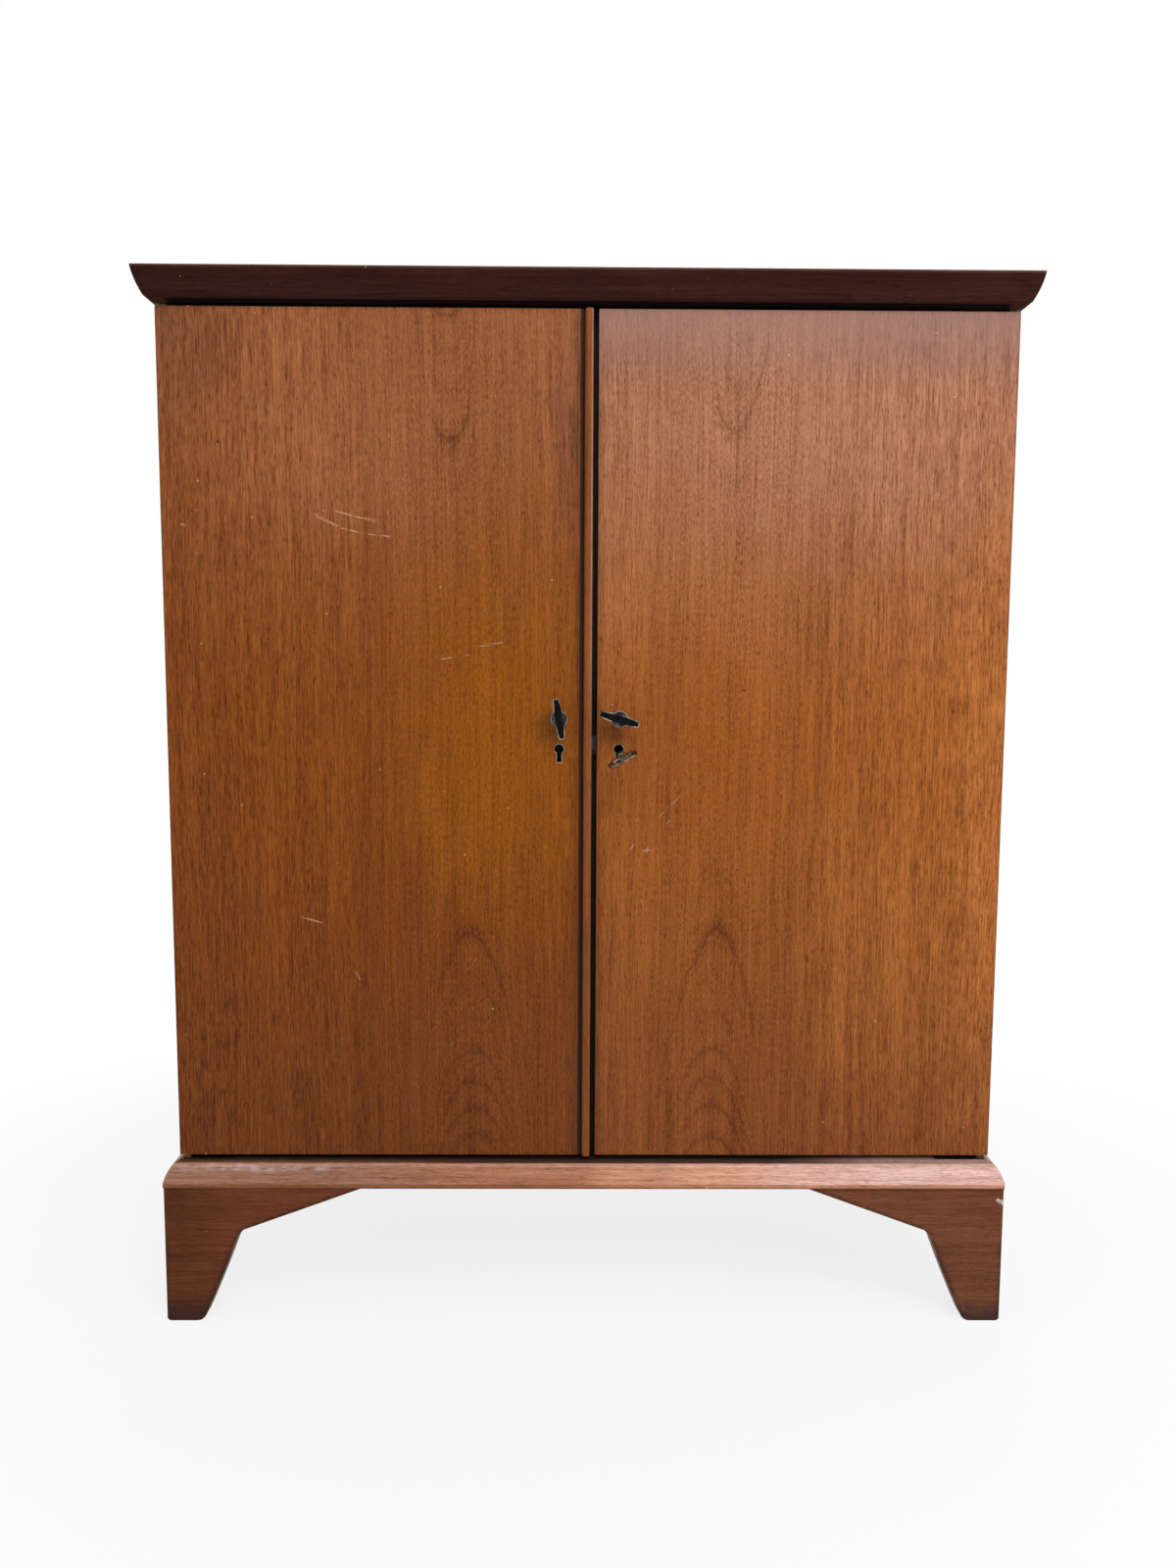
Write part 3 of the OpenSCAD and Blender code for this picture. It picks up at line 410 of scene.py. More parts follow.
def makeVeneer(name, side, seed):
    material, net, shader, spot = startMaterial(name)
    x, y, z = net.split(spot)
    knobX, knobZ = knobPlaces[side][:2]
    foot, middle, head = doorTones[side]
    half = (doorBottom + doorTop) / 2
    # painted sheen: the colour lightens from the foot to the head
    colour = net.mix(net.range(z, doorBottom - 0.04, half), foot, middle)
    colour = net.mix(net.range(z, half, doorTop), colour, head)
    for *place, tint, strength in doorPatches[side]:
        colour = net.mix(patchMark(net, spot, *place) * strength, colour, tint)
    flame = net.group(flameGroup, Vector=spot, **doorFigures[side])
    grain = net.group(grainGroup, Vector=spot, Short=flame["Near"], Seed=seed)
    bold = net.range(flame["Near"], 0.25, 0.9, 1.25, 1.0)  # bolder grain away from the figure
    tone = (woodTone(net, grain, veneerGrain) - 0.52) * bold + 0.52
    colour = fibred(net, colour, net.clamp(flame["Shade"] * -0.34 + tone))
    colour = net.mix(flame["Line"] * 0.5, colour, veneerLook["line"])

    edge = net.least(net.least(z - doorBottom, doorTop - z), halfWidth - abs(x))
    worn = net.most(chipMark(net, spot, edge, veneerLook["chipReach"], veneerLook["chipAmount"]),
                    speckMark(net, net.flat(spot), 42.0, 0.8, 0.03))
    for width, *points in doorScratches[side]:
        for start, end in zip(points, points[1:]):
            worn = net.most(worn, lineMark(net, spot, start, end, width))
    onFront = net.fall(y, frontY + 0.002, frontY + 0.004)
    worn = worn * onFront
    # painted shade: darker along the door's edges and towards the gap between the doors
    gapShade = net.fall(abs(x), 0.004, 0.024, 0.45)
    colour = net.mix(net.most(net.fall(edge, 0.0, 0.0025, 0.22), gapShade), colour, veneerLook["line"])
    if side == "right":  # painted reflection: the head of this door is painted a paler grey sheen
        nearTop = net.fall(doorTop - z, 0.0, 0.085, veneerLook["paintedSheenStrength"])
        colour = net.mix(nearTop, colour, veneerLook["paintedSheen"])
    colour = net.mix(worn * 0.75, colour, veneerLook["chip"])
    for dotX, dotZ, size in doorDots[side]:
        dot = roundMark(net, spot, dotX, dotZ, size * 0.5, size, 0.85)
        colour = net.mix(dot * onFront, colour, veneerLook["dot"])
    # painted shadow: a soft dark patch below and left of each knob
    paintedKnobShadow = roundMark(net, spot, knobX + knobShadowPlaces[side][0], knobZ + knobShadowPlaces[side][1], 0.005, 0.024, 0.38)
    colour = net.mix(paintedKnobShadow * onFront, colour, veneerLook["paintedKnobShadow"])
    for holeZ, reach in ((keyLook["z"], 0.022), (knobZ, 0.0095)):  # painted shade: dark inside the bores
        hole = roundMark(net, spot, knobX, holeZ, reach, reach + 0.001)
        inside = net.range(y, frontY + 0.0006, frontY + 0.003, 0.0, 0.9)
        colour = net.mix(hole * inside, colour, woodLook["black"])
    if side == "left":  # painted shade: the groove beside the bead and its lip are painted black
        groove = net.fall(abs(x), 0.01, 0.011) * net.range(y, frontY + 0.0003, frontY + 0.001)
        groove = groove * net.fall(y, frontY + 0.0052, frontY + 0.006)
        lip = net.fall(abs(x), 0.008, 0.0092, 0.9) * onFront
        colour = net.mix(net.most(groove, lip), colour, woodLook["black"])
    rough = grain["Fleck"] * woodLook["fleckPolish"] + veneerLook["roughness"]
    finishWood(net, shader, grain, colour, worn * 0.25 + rough, veneerLook["specular"])
    return material


# the first colour is a painted sheen, the second a painted shadow, the third the top arris
corniceLook = {"polishAndSheen": (0.05, 0.016, 0.012), "soffitShadow": (0.002, 0.001, 0.001), "arris": (0.11, 0.05, 0.034)}


def corniceShade(net, spot, x, y, z):  # painted light and shade on the front: a painted sheen lighter towards its lower edge, the soffit painted black shadow, and the top front arris paler
    yield net.fall(z, corniceBottom + 0.006, corniceTop, 0.35), corniceLook["polishAndSheen"]
    # painted shadow: the soffit under the front is painted black
    low = net.fall(z, corniceBottom + 0.003, corniceBottom + 0.004, 0.95)
    yield low * net.fall(abs(x), 0.434, 0.44), corniceLook["soffitShadow"]
    arris = net.fall(corniceTop - z, 0.0008, 0.003, 0.8)
    yield arris * net.fall(y, corniceFront + 0.0015, corniceFront + 0.004), corniceLook["arris"]


# painted light and shade colours for the front moulding
mouldingLook = {  # the pairs are its left and its right end
    "left": (0.325, 0.16, 0.102), "middle": (0.62, 0.3, 0.18), "right": (0.69, 0.435, 0.375),
    "glare": (0.56, 0.42, 0.39), "band": (0.62, 0.37, 0.29), "crease": (0.012, 0.006, 0.004),
    "bevel": ((0.16, 0.048, 0.012), (0.04, 0.015, 0.008)),
    "fillet": ((0.23, 0.082, 0.03), (0.48, 0.205, 0.1)), "underside": (0.09, 0.03, 0.012),
}


def mouldingPolish(net, spot, x, y, z):  # painted light and shade: a painted reflection pale to the right and dull to the left, painted glare and sheen near its top, painted shadow on its bevel and crease, and painted shade on its underside
    look = mouldingLook
    place = x + (net.noise(net.scaled(spot, 16.0), 3.0) - 0.5) * 0.2
    # painted reflection: paler to the right, duller to the left
    yield net.fall(place, -0.3, -0.12, 0.9), look["left"]
    yield net.range(place, -0.02, 0.13, 0.0, 0.9), look["middle"]
    yield net.range(place, 0.12, 0.34, 0.0, 0.9), look["right"]
    # worn here is only noise that breaks up the painted glare
    worn = net.noise(net.vector("MULTIPLY", spot, (45.0, 45.0, 160.0)), 4.0, 0.65)
    glare = patchMark(net, spot, -0.35, mouldTop - 0.0055, 0.1, 0.017) * net.range(worn, 0.42, 0.54)
    yield glare * net.range(z, mouldTop - 0.013, mouldTop - 0.007) * 0.75, look["glare"]
    # painted sheen along the upper face
    yield net.range(z, mouldTop - 0.0075, mouldTop - 0.005, 0.0, 0.35), look["band"]
    # painted shadow of the doors on the bevel, black in its crease
    bevel = net.range(z, mouldTop - 0.0034, mouldTop - 0.0026) * net.range(x, 0.2, 0.36, 0.96, 0.55)
    yield bevel, net.mix(net.range(z, mouldTop - 0.0028, mouldTop - 0.0006),
                         net.mix(net.range(x, -0.3, -0.05), *look["bevel"]), look["crease"])
    # the fillet is painted lighter to the right, as lit from the right
    fillet = net.fall(z, mouldBottom + 0.0045, mouldBottom + 0.0062, 0.85)
    yield fillet, net.mix(net.range(x, -0.1, 0.2), *look["fillet"])
    # painted shade on the underside
    yield net.fall(z, mouldBottom, mouldBottom + 0.003, 0.85), look["underside"]


# the first colour darkens each foot towards the floor; shade is painted shade and lit is painted light
footLook = {"darkerLow": (0.03, 0.016, 0.014), "shade": (0.03, 0.01, 0.005), "scar": (0.6, 0.5, 0.42),
            "lit": (0.155, 0.046, 0.017), "rim": (0.03, 0.014, 0.01), "rimWidth": 0.0065,
            "bruise": (0.42, 0.27, 0.18)}
footScars = [  # width of each scar, then its ends, x and z
    (0.0042, (0.456, 0.1415), (0.468, 0.1355)), (0.0026, (0.465, 0.1225), (0.4685, 0.116))]
footRims = [  # the ends of each dark edge, x and z, for both feet
    ((0.429, -0.012), (0.382, 0.104)), ((0.39, 0.101), (0.23, 0.159)), ((0.465, -0.02), (0.465, 0.1))]


def footGrime(net, spot, x, y, z):  # darker towards the floor, painted shade under the moulding, a painted lit patch on the left foot, scars and bruises, and dark lines along its edges
    look = footLook
    uneven = net.noise(net.scaled(spot, 55.0), 3.0) * 0.012 + z
    yield net.fall(uneven, 0.01, 0.04, 0.78), look["darkerLow"]
    yield net.range(z, mouldBottom - 0.004, mouldBottom, 0.0, 0.55), look["shade"]
    for width, start, end in footScars:
        yield lineMark(net, spot, start, end, width) * net.fall(y, frontY + 0.01, frontY + 0.03, 0.9), look["scar"]
    # painted light on the left foot's outer face
    lit = net.range(x, -0.455, -0.37, 0.0, 0.75) * net.fall(x, -0.2, -0.1)
    yield lit * net.range(z, 0.03, 0.09), look["lit"]
    folded = net.join(abs(x), 0.0, z)  # both feet share one drawing of their dark edges
    for start, end in footRims:
        yield lineMark(net, folded, start, end, look["rimWidth"]) * 0.75, look["rim"]
    bruise = speckMark(net, net.flat(spot), 58.0, 0.75, 0.036)
    yield bruise * net.fall(y, footFront + 0.0006, footFront + 0.0016, 0.7), look["bruise"]


def beadRub(net, spot, x, y, z):  # a painted highlight on its outer arris, paler towards the head, and painted black shade on its inner side beside the groove
    paintedHighlight = net.range(x, beadEdge - 0.0024, beadEdge - 0.001) * net.fall(y, frontY + 0.0006, frontY + 0.0016)
    yield paintedHighlight * net.range(z, 0.55, 0.95, 0.1, 0.85), woodLook["paintedLit"]
    yield net.fall(x, -0.0052, -0.0042, 0.9), woodLook["black"]


def darkFront(net, spot, x, y, z):  # painted shade: the carcass is painted black where it shows between the doors
    yield net.fall(y, frontY + 0.029, frontY + 0.031, 0.95), woodLook["black"]


def panelInside(net, spot, x, y, z):  # pale lining on the inner face, painted black shade on the front edge
    yield net.fall(abs(x), panelInner + 0.0003, panelInner + 0.0006), solidLooks["lining"][0]
    yield from darkFront(net, spot, x, y, z)


solidLooks = {  # average colour, roughness, specular level
    "cornice": ((0.032, 0.0085, 0.0058), 0.48, 0.03),
    "moulding": ((0.35, 0.146, 0.078), 0.42, 0.12),
    # painted light: the right foot is written lighter than the left, as lit from the right
    "leftFoot": ((0.1, 0.029, 0.01), 0.46, 0.06),
    "rightFoot": ((0.15, 0.05, 0.022), 0.46, 0.08),
    "bead": ((0.198, 0.06, 0.017), 0.46, 0.05),
    "lining": ((0.37, 0.192, 0.08), 0.5, 0.12),
    "plywood": ((0.4, 0.232, 0.112), 0.6, 0.1),
    "carcass": ((0.222, 0.064, 0.014), 0.44, 0.08),
}
solidGrain = {"base": 0.02, "Fleck": 0.3, "Thread": 0.28, "Streak": 0.24, "Band": 0.18, "Pore": -0.2}
footChip = (0.42, 0.24, 0.15)
plainWear = {"edges": [], "chip": (0.6, 0.38, 0.24), "amount": 0.4, "reach": 0.002}
frontWear = {**plainWear, "chip": footChip}
corniceWear = {"edges": [("z", corniceTop)], "chip": (0.16, 0.1, 0.07), "amount": 0.3, "reach": 0.001}
mouldingWear = {"edges": [("z", mouldBottom + 0.0005)], "chip": (0.62, 0.42, 0.3), "amount": 0.35, "reach": 0.0016}
footWear = {"edges": [("z", 0.0), ("w", footEdge)], "chip": footChip, "amount": 0.35, "reach": 0.0014}


def makeSolidWood(name, look, axis, seed, finish=None, wear=plainWear):
    average, roughness, specular = solidLooks[look]
    material, net, shader, spot = startMaterial(name)
    x, y, z = net.split(spot)
    lengthways = net.join(*{"x": (z, y, x), "y": (x, z, y), "z": (x, y, z)}[axis])
    grain = net.group(grainGroup, Vector=lengthways, Seed=seed)
    cloud = net.range(net.noise(net.scaled(spot, 9.0), 3.0, 0.6), 0.35, 0.65, smooth=False)
    colour = net.mix(cloud, *[[part * share for part in average] for share in (0.82, 1.16)])
    for mask, tint in finish(net, spot, x, y, z) if finish else ():
        colour = net.mix(mask, colour, tint)
    colour = fibred(net, colour, net.clamp(woodTone(net, grain, solidGrain)))
    worn = speckMark(net, spot, 52.0, 0.8, 0.028)
    for axisName, place in wear["edges"]:  # an edge is a plane that the wood's arris lies on
        value = {"x": x, "y": y, "z": z, "w": abs(x)}[axisName]
        worn = net.most(worn, chipMark(net, spot, abs(value - place), wear["reach"], wear["amount"]))
    colour = net.mix(worn * 0.85, colour, wear["chip"])
    rough = grain["Fleck"] * woodLook["fleckPolish"] + roughness
    finishWood(net, shader, grain, colour, worn * 0.2 + rough, specular)
    return material


metalLooks = {  # base, dulled colour, roughness, dulled roughness, share that is dulled
    "brass": ((0.5, 0.36, 0.17), (0.22, 0.15, 0.075), 0.28, 0.52, 0.62),
    "darkBrass": ((0.12, 0.08, 0.04), (0.045, 0.03, 0.017), 0.4, 0.6, 0.62),
    "steel": ((0.42, 0.41, 0.39), (0.2, 0.18, 0.16), 0.32, 0.55, 0.62),
    "strike": ((0.085, 0.08, 0.078), (0.035, 0.032, 0.03), 0.38, 0.6, 0.62),
    "rim": ((0.4, 0.37, 0.32), (0.06, 0.052, 0.045), 0.18, 0.4, 0.95),
    "hollow": ((0.06, 0.057, 0.06), (0.01, 0.009, 0.009), 0.26, 0.48, 0.8),
    "channel": ((0.012, 0.01, 0.01), (0.004, 0.004, 0.004), 0.35, 0.6, 0.62),
    "key": ((0.27, 0.225, 0.165), (0.06, 0.046, 0.03), 0.16, 0.36, 0.85),
    "lining": ((0.34, 0.28, 0.21), (0.1, 0.07, 0.045), 0.3, 0.55, 0.62),
}
# colours of painted shade, on the strike and inside the keyholes
metalBlack = {"strike": (0.006, 0.005, 0.005), "keyhole": (0.007, 0.004, 0.003)}


def makeMetal(name, look, size=1.0, paintedLit=None, side=None, dark=None):
    bright, dull, polishAndSheen, matt, cover = metalLooks[look]
    material, net, shader, spot = startMaterial(name)
    x, y, z = net.split(spot)
    patina = net.group(tarnishGroup, Vector=spot, Size=size)
    share = net.clamp(patina["Patch"] * cover + patina["Fine"] * 0.18)
    colour = net.mix(share, bright, dull)
    if paintedLit:  # painted shade: black below and above the stretch left lit
        low, high = paintedLit
        litStretch = net.range(z, low - 0.0005, low) * net.fall(z, high, high + 0.0005)
        black = (1.0 - litStretch) * net.fall(y, frontY + 0.0225, frontY + 0.0265)
        colour = net.mix(black * 0.95, colour, metalBlack["strike"])
    if side:  # painted shade: black round a keyhole and inside it
        radius, start, full, end = dark
        inside = net.range(y, start, full) * net.fall(y, end, end + 0.0006)
        inside = roundMark(net, spot, knobPlaces[side][0], keyLook["z"], radius, radius + 0.001) * inside
        colour = net.mix(inside * 0.97, colour, metalBlack["keyhole"])
    net.feed(shader, {"Base Color": colour, "Roughness": share * (matt - polishAndSheen) + polishAndSheen, "Metallic": 1.0})
    bumped(net, shader, patina["Fine"], 0.08, 0.0002)
    return material


mirrorLook = {"silver": (0.84, 0.86, 0.86), "spot": (0.45, 0.42, 0.38)}
glassLook = {"clean": (0.86, 0.96, 0.93), "smeared": (0.78, 0.9, 0.87), "clear": 0.9, "bend": 1.5}


def makeMirror():
    material, net, shader, spot = startMaterial("silveredMirror")
    x, y, z = net.split(spot)
    low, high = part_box("back_mirror")
    border = net.least(net.least(x - low.x, high.x - x), net.least(z - low.z, high.z - z))
    speckle = net.noise(net.scaled(spot, 60.0), 4.0, 0.7) + net.range(border, 0.0, 0.03, 0.14, -0.1)
    spots = net.range(speckle, 0.62, 0.72)
    net.feed(shader, {"Base Color": net.mix(spots, mirrorLook["silver"], mirrorLook["spot"]),
                      "Roughness": spots * 0.3 + 0.03, "Metallic": 1.0})
    return material


def makeGlass():
    material, net, shader, spot = startMaterial("shelfGlass")
    smear = net.range(net.noise(net.scaled(spot, 14.0), 4.0, 0.6), 0.45, 0.7)
    net.feed(shader, {"Base Color": net.mix(smear, glassLook["clean"], glassLook["smeared"]),
                      "Roughness": smear * 0.06 + 0.02, "Transmission Weight": glassLook["clear"],
                      "IOR": glassLook["bend"]})
    return material


# painted shade round a keyhole: its radius, the depths where it starts, is full and ends
lockDark = (0.016, -1.0, -0.9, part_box("left_lock_cover")[1].y - 0.0009)
keyDark = (0.03, frontY - 0.022, frontY - 0.004, 0.0)
liningDark = (0.03, frontY + 0.0004, frontY + 0.001, 0.0)
solids = [  # name, look, the axis its grain runs along, seed, finish, wear
    ("sideVeneer", "carcass", "z", 5.1, panelInside), ("corniceAcross", "cornice", "x", 0.4, corniceShade, frontWear),
    ("corniceDeep", "cornice", "y", 0.9, None, corniceWear),
    ("mouldingAcross", "moulding", "x", 2.0, mouldingPolish, mouldingWear),
    ("mouldingDeep", "moulding", "y", 2.6, None, mouldingWear),
    ("leftFootWood", "leftFoot", "x", 3.0, footGrime, footWear),
    ("rightFootWood", "rightFoot", "x", 3.6, footGrime, footWear), ("beadWood", "bead", "z", 6.0, beadRub),
    ("partitionWood", "lining", "z", 7.4, darkFront), ("caseBoardWood", "lining", "x", 7.2, darkFront),
    ("liningAcross", "lining", "x", 7.7), ("plywoodBack", "plywood", "z", 8.2), ("topVeneer", "cornice", "x", 1.3)]
metals = [  # name, look, size of its patina, lit stretch amid painted shade, side of its keyhole, its painted shade inside the keyhole
    ("agedBrass", "brass"), ("pivotBrass", "darkBrass"), ("plainSteel", "steel"),
    *[(side + "LockSteel", "steel", 1.0, None, side, lockDark) for side in sides],
    ("strikeSteel", "strike", 1.0, (0.6318, 0.6523)), ("rubbedRim", "rim", 0.9), ("darkHollow", "hollow", 1.2),
    ("blackChannel", "channel", 1.2), ("wornKey", "key", 1.2, None, "right", keyDark),
    *[(side + "KeyholeMetal", "lining", 1.5, None, side, liningDark) for side in sides]]
looks = [makeVeneer("leftDoorVeneer", "left", 0.0), makeVeneer("rightDoorVeneer", "right", 1.7)]
looks += [makeSolidWood(*solid) for solid in solids] + [makeMetal(*metal) for metal in metals]
looks += [makeMirror(), makeGlass()]
looks = {made.name: made for made in looks}
print("scene: materials made,", len(looks))


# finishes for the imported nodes

nodeGroups = [  # finish, width of the eased arris in metres, nodes, with {} for both sides
    ("{}DoorVeneer", 0.0007, "{}_door_panel"), ("sideVeneer", 0.0005, "{}_side_panel"),
    ("corniceAcross", 0.0006, "cornice_front"), ("corniceDeep", 0.0006, "cornice_{}"),
    ("mouldingAcross", 0.0008, "base_moulding_front"), ("mouldingDeep", 0.0008, "base_moulding_{}"),
    ("topVeneer", 0.0004, "top_panel"), ("beadWood", 0.0003, "meeting_bead"),
    ("{}FootWood", 0.0009, "front_{}_foot rear_{}_foot"), ("partitionWood", 0, "centre_partition"),
    ("caseBoardWood", 0, "case_top_board case_bottom_board"), ("plywoodBack", 0, "back_panel"),
    ("liningAcross", 0, "base_rails foot_corner_blocks"), ("liningAcross", 0.0008, "{}_lower_rack {}_upper_rack"),
    ("liningAcross", 0.0006, "left_serving_shelf right_lower_shelf right_upper_shelf"),
    ("silveredMirror", 0, "back_mirror"), ("shelfGlass", 0.0008, "left_glass_shelf"),
    ("agedBrass", 0, "shelf_pins {}_lower_rail {}_upper_rail {}_lock_bolt"), ("wornKey", 0, "key"),
    ("pivotBrass", 0, "base_pivots top_pivots {}_pivot_leaves"), ("strikeSteel", 0.0003, "partition_strikes"),
    ("{}LockSteel", 0, "{}_lock_case {}_lock_cover"), ("{}KeyholeMetal", 0.00022, "{}_keyhole_lining"),
    ("plainSteel", 0, "{}_knob_spindle {}_latch_tongue"), ("darkHollow", 0, "{}_knob_bush {}_knob")]
finishes = {name.format(side): (look.format(side), width)
            for look, width, names in nodeGroups for name in names.split() for side in sides}
weldDistance, flatAngle = 0.00002, math.radians(0.4)


def easeEdges(obj, width):  # joins the loose triangles, then rounds the sharp arrises
    weld = obj.modifiers.new("weld", "WELD")
    weld.merge_threshold = weldDistance
    flat = obj.modifiers.new("flat", "DECIMATE")
    flat.decimate_type = "DISSOLVE"
    flat.angle_limit = flatAngle
    bevel = obj.modifiers.new("bevel", "BEVEL")
    bevel.width = width
    bevel.segments = 2
    bevel.limit_method = "ANGLE"
    bevel.angle_limit = math.radians(28)


for name, obj in nodes.items():
    look, width = finishes[name]
    obj.data.materials.clear()
    obj.data.materials.append(looks[look])
    if width:
        easeEdges(obj, width)
print("scene: packed nodes finished")


# new pieces

def linked(name, data):
    obj = bpy.data.objects.new(name, data)
    bpy.context.scene.collection.objects.link(obj)
    return obj


def stored(mesh, name):
    data = bpy.data.meshes.new(name)
    mesh.to_mesh(data)
    mesh.free()
    return data


def finishPiece(mesh, name, body, materials, place=None, replaces=(), smoothAngle=38):
    if place is not None:
        bmesh.ops.transform(mesh, matrix=place, verts=mesh.verts)
    bmesh.ops.recalc_face_normals(mesh, faces=mesh.faces)
    for face in mesh.faces:
        face.smooth = True
    data = stored(mesh, name)
    for material in materials:
        data.materials.append(looks[material])
    data.set_sharp_from_angle(angle=math.radians(smoothAngle))
    piece = linked(name, data)
    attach(piece, body)
    if replaces:
        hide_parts(*replaces)
    return piece


def turn(degrees, axis):
    return Matrix.Rotation(math.radians(degrees), 4, axis)


def once(parts):  # each part once, in a fixed order
    return list(dict.fromkeys(parts))


def pushOut(mesh, faces, way, **settings):
    made = bmesh.ops.extrude_face_region(mesh, geom=faces, **settings)["geom"]
    bmesh.ops.translate(mesh, vec=way, verts=[v for v in made if isinstance(v, bmesh.types.BMVert)])


def turned(mesh, profile):  # a turning about Y, from its radii and depths
    chain = [mesh.verts.new((radius, y, 0.0)) for radius, y in profile]
    edges = [mesh.edges.new(pair) for pair in zip(chain, chain[1:])]
    bmesh.ops.spin(mesh, geom=chain + edges, cent=(0, 0, 0), axis=(0, 1, 0), angle=math.tau, steps=32, use_merge=True)


def sharpEdges(mesh, least, most=4.0):  # by the angle between their faces
    return [e for e in mesh.edges if len(e.link_faces) == 2 and least < e.calc_face_angle(0) < most]


def softBevel(mesh, edges, width, segments):
    bmesh.ops.bevel(mesh, geom=edges, offset=width, affect="EDGES", segments=segments, profile=0.5, material=-1,
                    clamp_overlap=True)


def knobOutline():  # a quarter of the bow-tie face, mirrored: boss arc, then the tapering wing
    boss, end, cut = knobLook["boss"], knobLook["length"] / 2, knobLook["tip"] / 6
    wing, tip = knobLook["wing"] / 2, knobLook["tip"] / 2
    slope = (wing - tip) / (end - cut)  # the wing narrows evenly from the middle out
    meet = math.acos((wing - slope * boss * 0.83) / boss)
    arc = [(boss * math.cos(meet * step / 9), boss * math.sin(meet * step / 9)) for step in range(10)]
    side = [(wing - slope * z, z) for z in (boss, boss + 0.003)]
    quarter = arc + side + [(tip, end - cut), (tip - cut * 0.3, end - cut * 0.3), (tip - cut, end)]
    half = quarter + [(-x, z) for x, z in reversed(quarter)]
    return half + [(-x, -z) for x, z in half[1:-1]]


def insetBy(mesh, faces, inward, deep):
    bmesh.ops.inset_region(mesh, faces=faces, thickness=inward, depth=-deep, use_even_offset=True)


def makeKnob(side):
    look = knobLook
    mesh = bmesh.new()
    face = mesh.faces.new([mesh.verts.new((x, 0.0, z)) for x, z in knobOutline()])
    pushOut(mesh, [face], (0, look["thick"], 0))
    bmesh.ops.edgeloop_fill(mesh, edges=[e for e in mesh.edges if e.is_boundary])
    bmesh.ops.recalc_face_normals(mesh, faces=mesh.faces)

    def facingFront(deeper=-1.0):
        return [f for f in mesh.faces if f.normal.y < -0.9 and f.calc_center_median().y > deeper]

    floor = facingFront()
    insetBy(mesh, floor, look["rim"], 0.0)
    insetBy(mesh, floor, look["rim"] * 0.35, look["lobe"])
    middle = look["lobe"] * 0.5  # between the rim and the hollow
    half = look["wing"] / 2 - look["rim"] - look["channelGap"]
    for place in (half, -half):  # the bar's own channel lies a step deeper than the lobes beside it
        hollow = facingFront(middle)
        parts = once(part for f in hollow for part in (*f.verts, *f.edges, f))
        bmesh.ops.bisect_plane(mesh, geom=parts, plane_co=(place, 0, 0), plane_no=(1, 0, 0))
    hollow = facingFront(middle)
    channel = [f for f in hollow if abs(f.calc_center_median().x) < half]
    for lobe in [f for f in hollow if f not in channel]:
        insetBy(mesh, [lobe], look["lobeInset"], look["lobeStep"])
    insetBy(mesh, channel, look["channelInset"], look["channel"])
    sharp = [e for e in sharpEdges(mesh, 0.7) if min(v.co.y for v in e.verts) < middle]
    softBevel(mesh, sharp, look["round"], 3)
    mesh.normal_update()
    for face in mesh.faces:  # rubbed rims take the second finish, the channel the third
        onRim = face.calc_center_median().y < look["round"] and face.normal.y < -0.35
        face.material_index = 2 if face in channel else 1 if onRim else 0
    end = look["out"] - 0.0015  # the waisted neck goes down to the bush
    start = look["thick"]
    turned(mesh, [(look["boss"] - 0.0015, start), (0.0068, start + 0.0004), (0.0059, start + 0.0013),
                  (0.0054, start + 0.0028), (0.0052, start + 0.005), (0.0052, end - 0.0025), (0.0058, end - 0.0016),
                  (0.0066, end - 0.001), (0.0066, end)])
    x, z, angle = knobPlaces[side]
    place = Matrix.Translation((x, frontY - look["out"], z)) @ turn(angle, "Y")
    finishPiece(mesh, side + "KnobCast", side + "_turn_latch",
                ["darkHollow", "rubbedRim", "blackChannel"], place, [side + "_knob"])


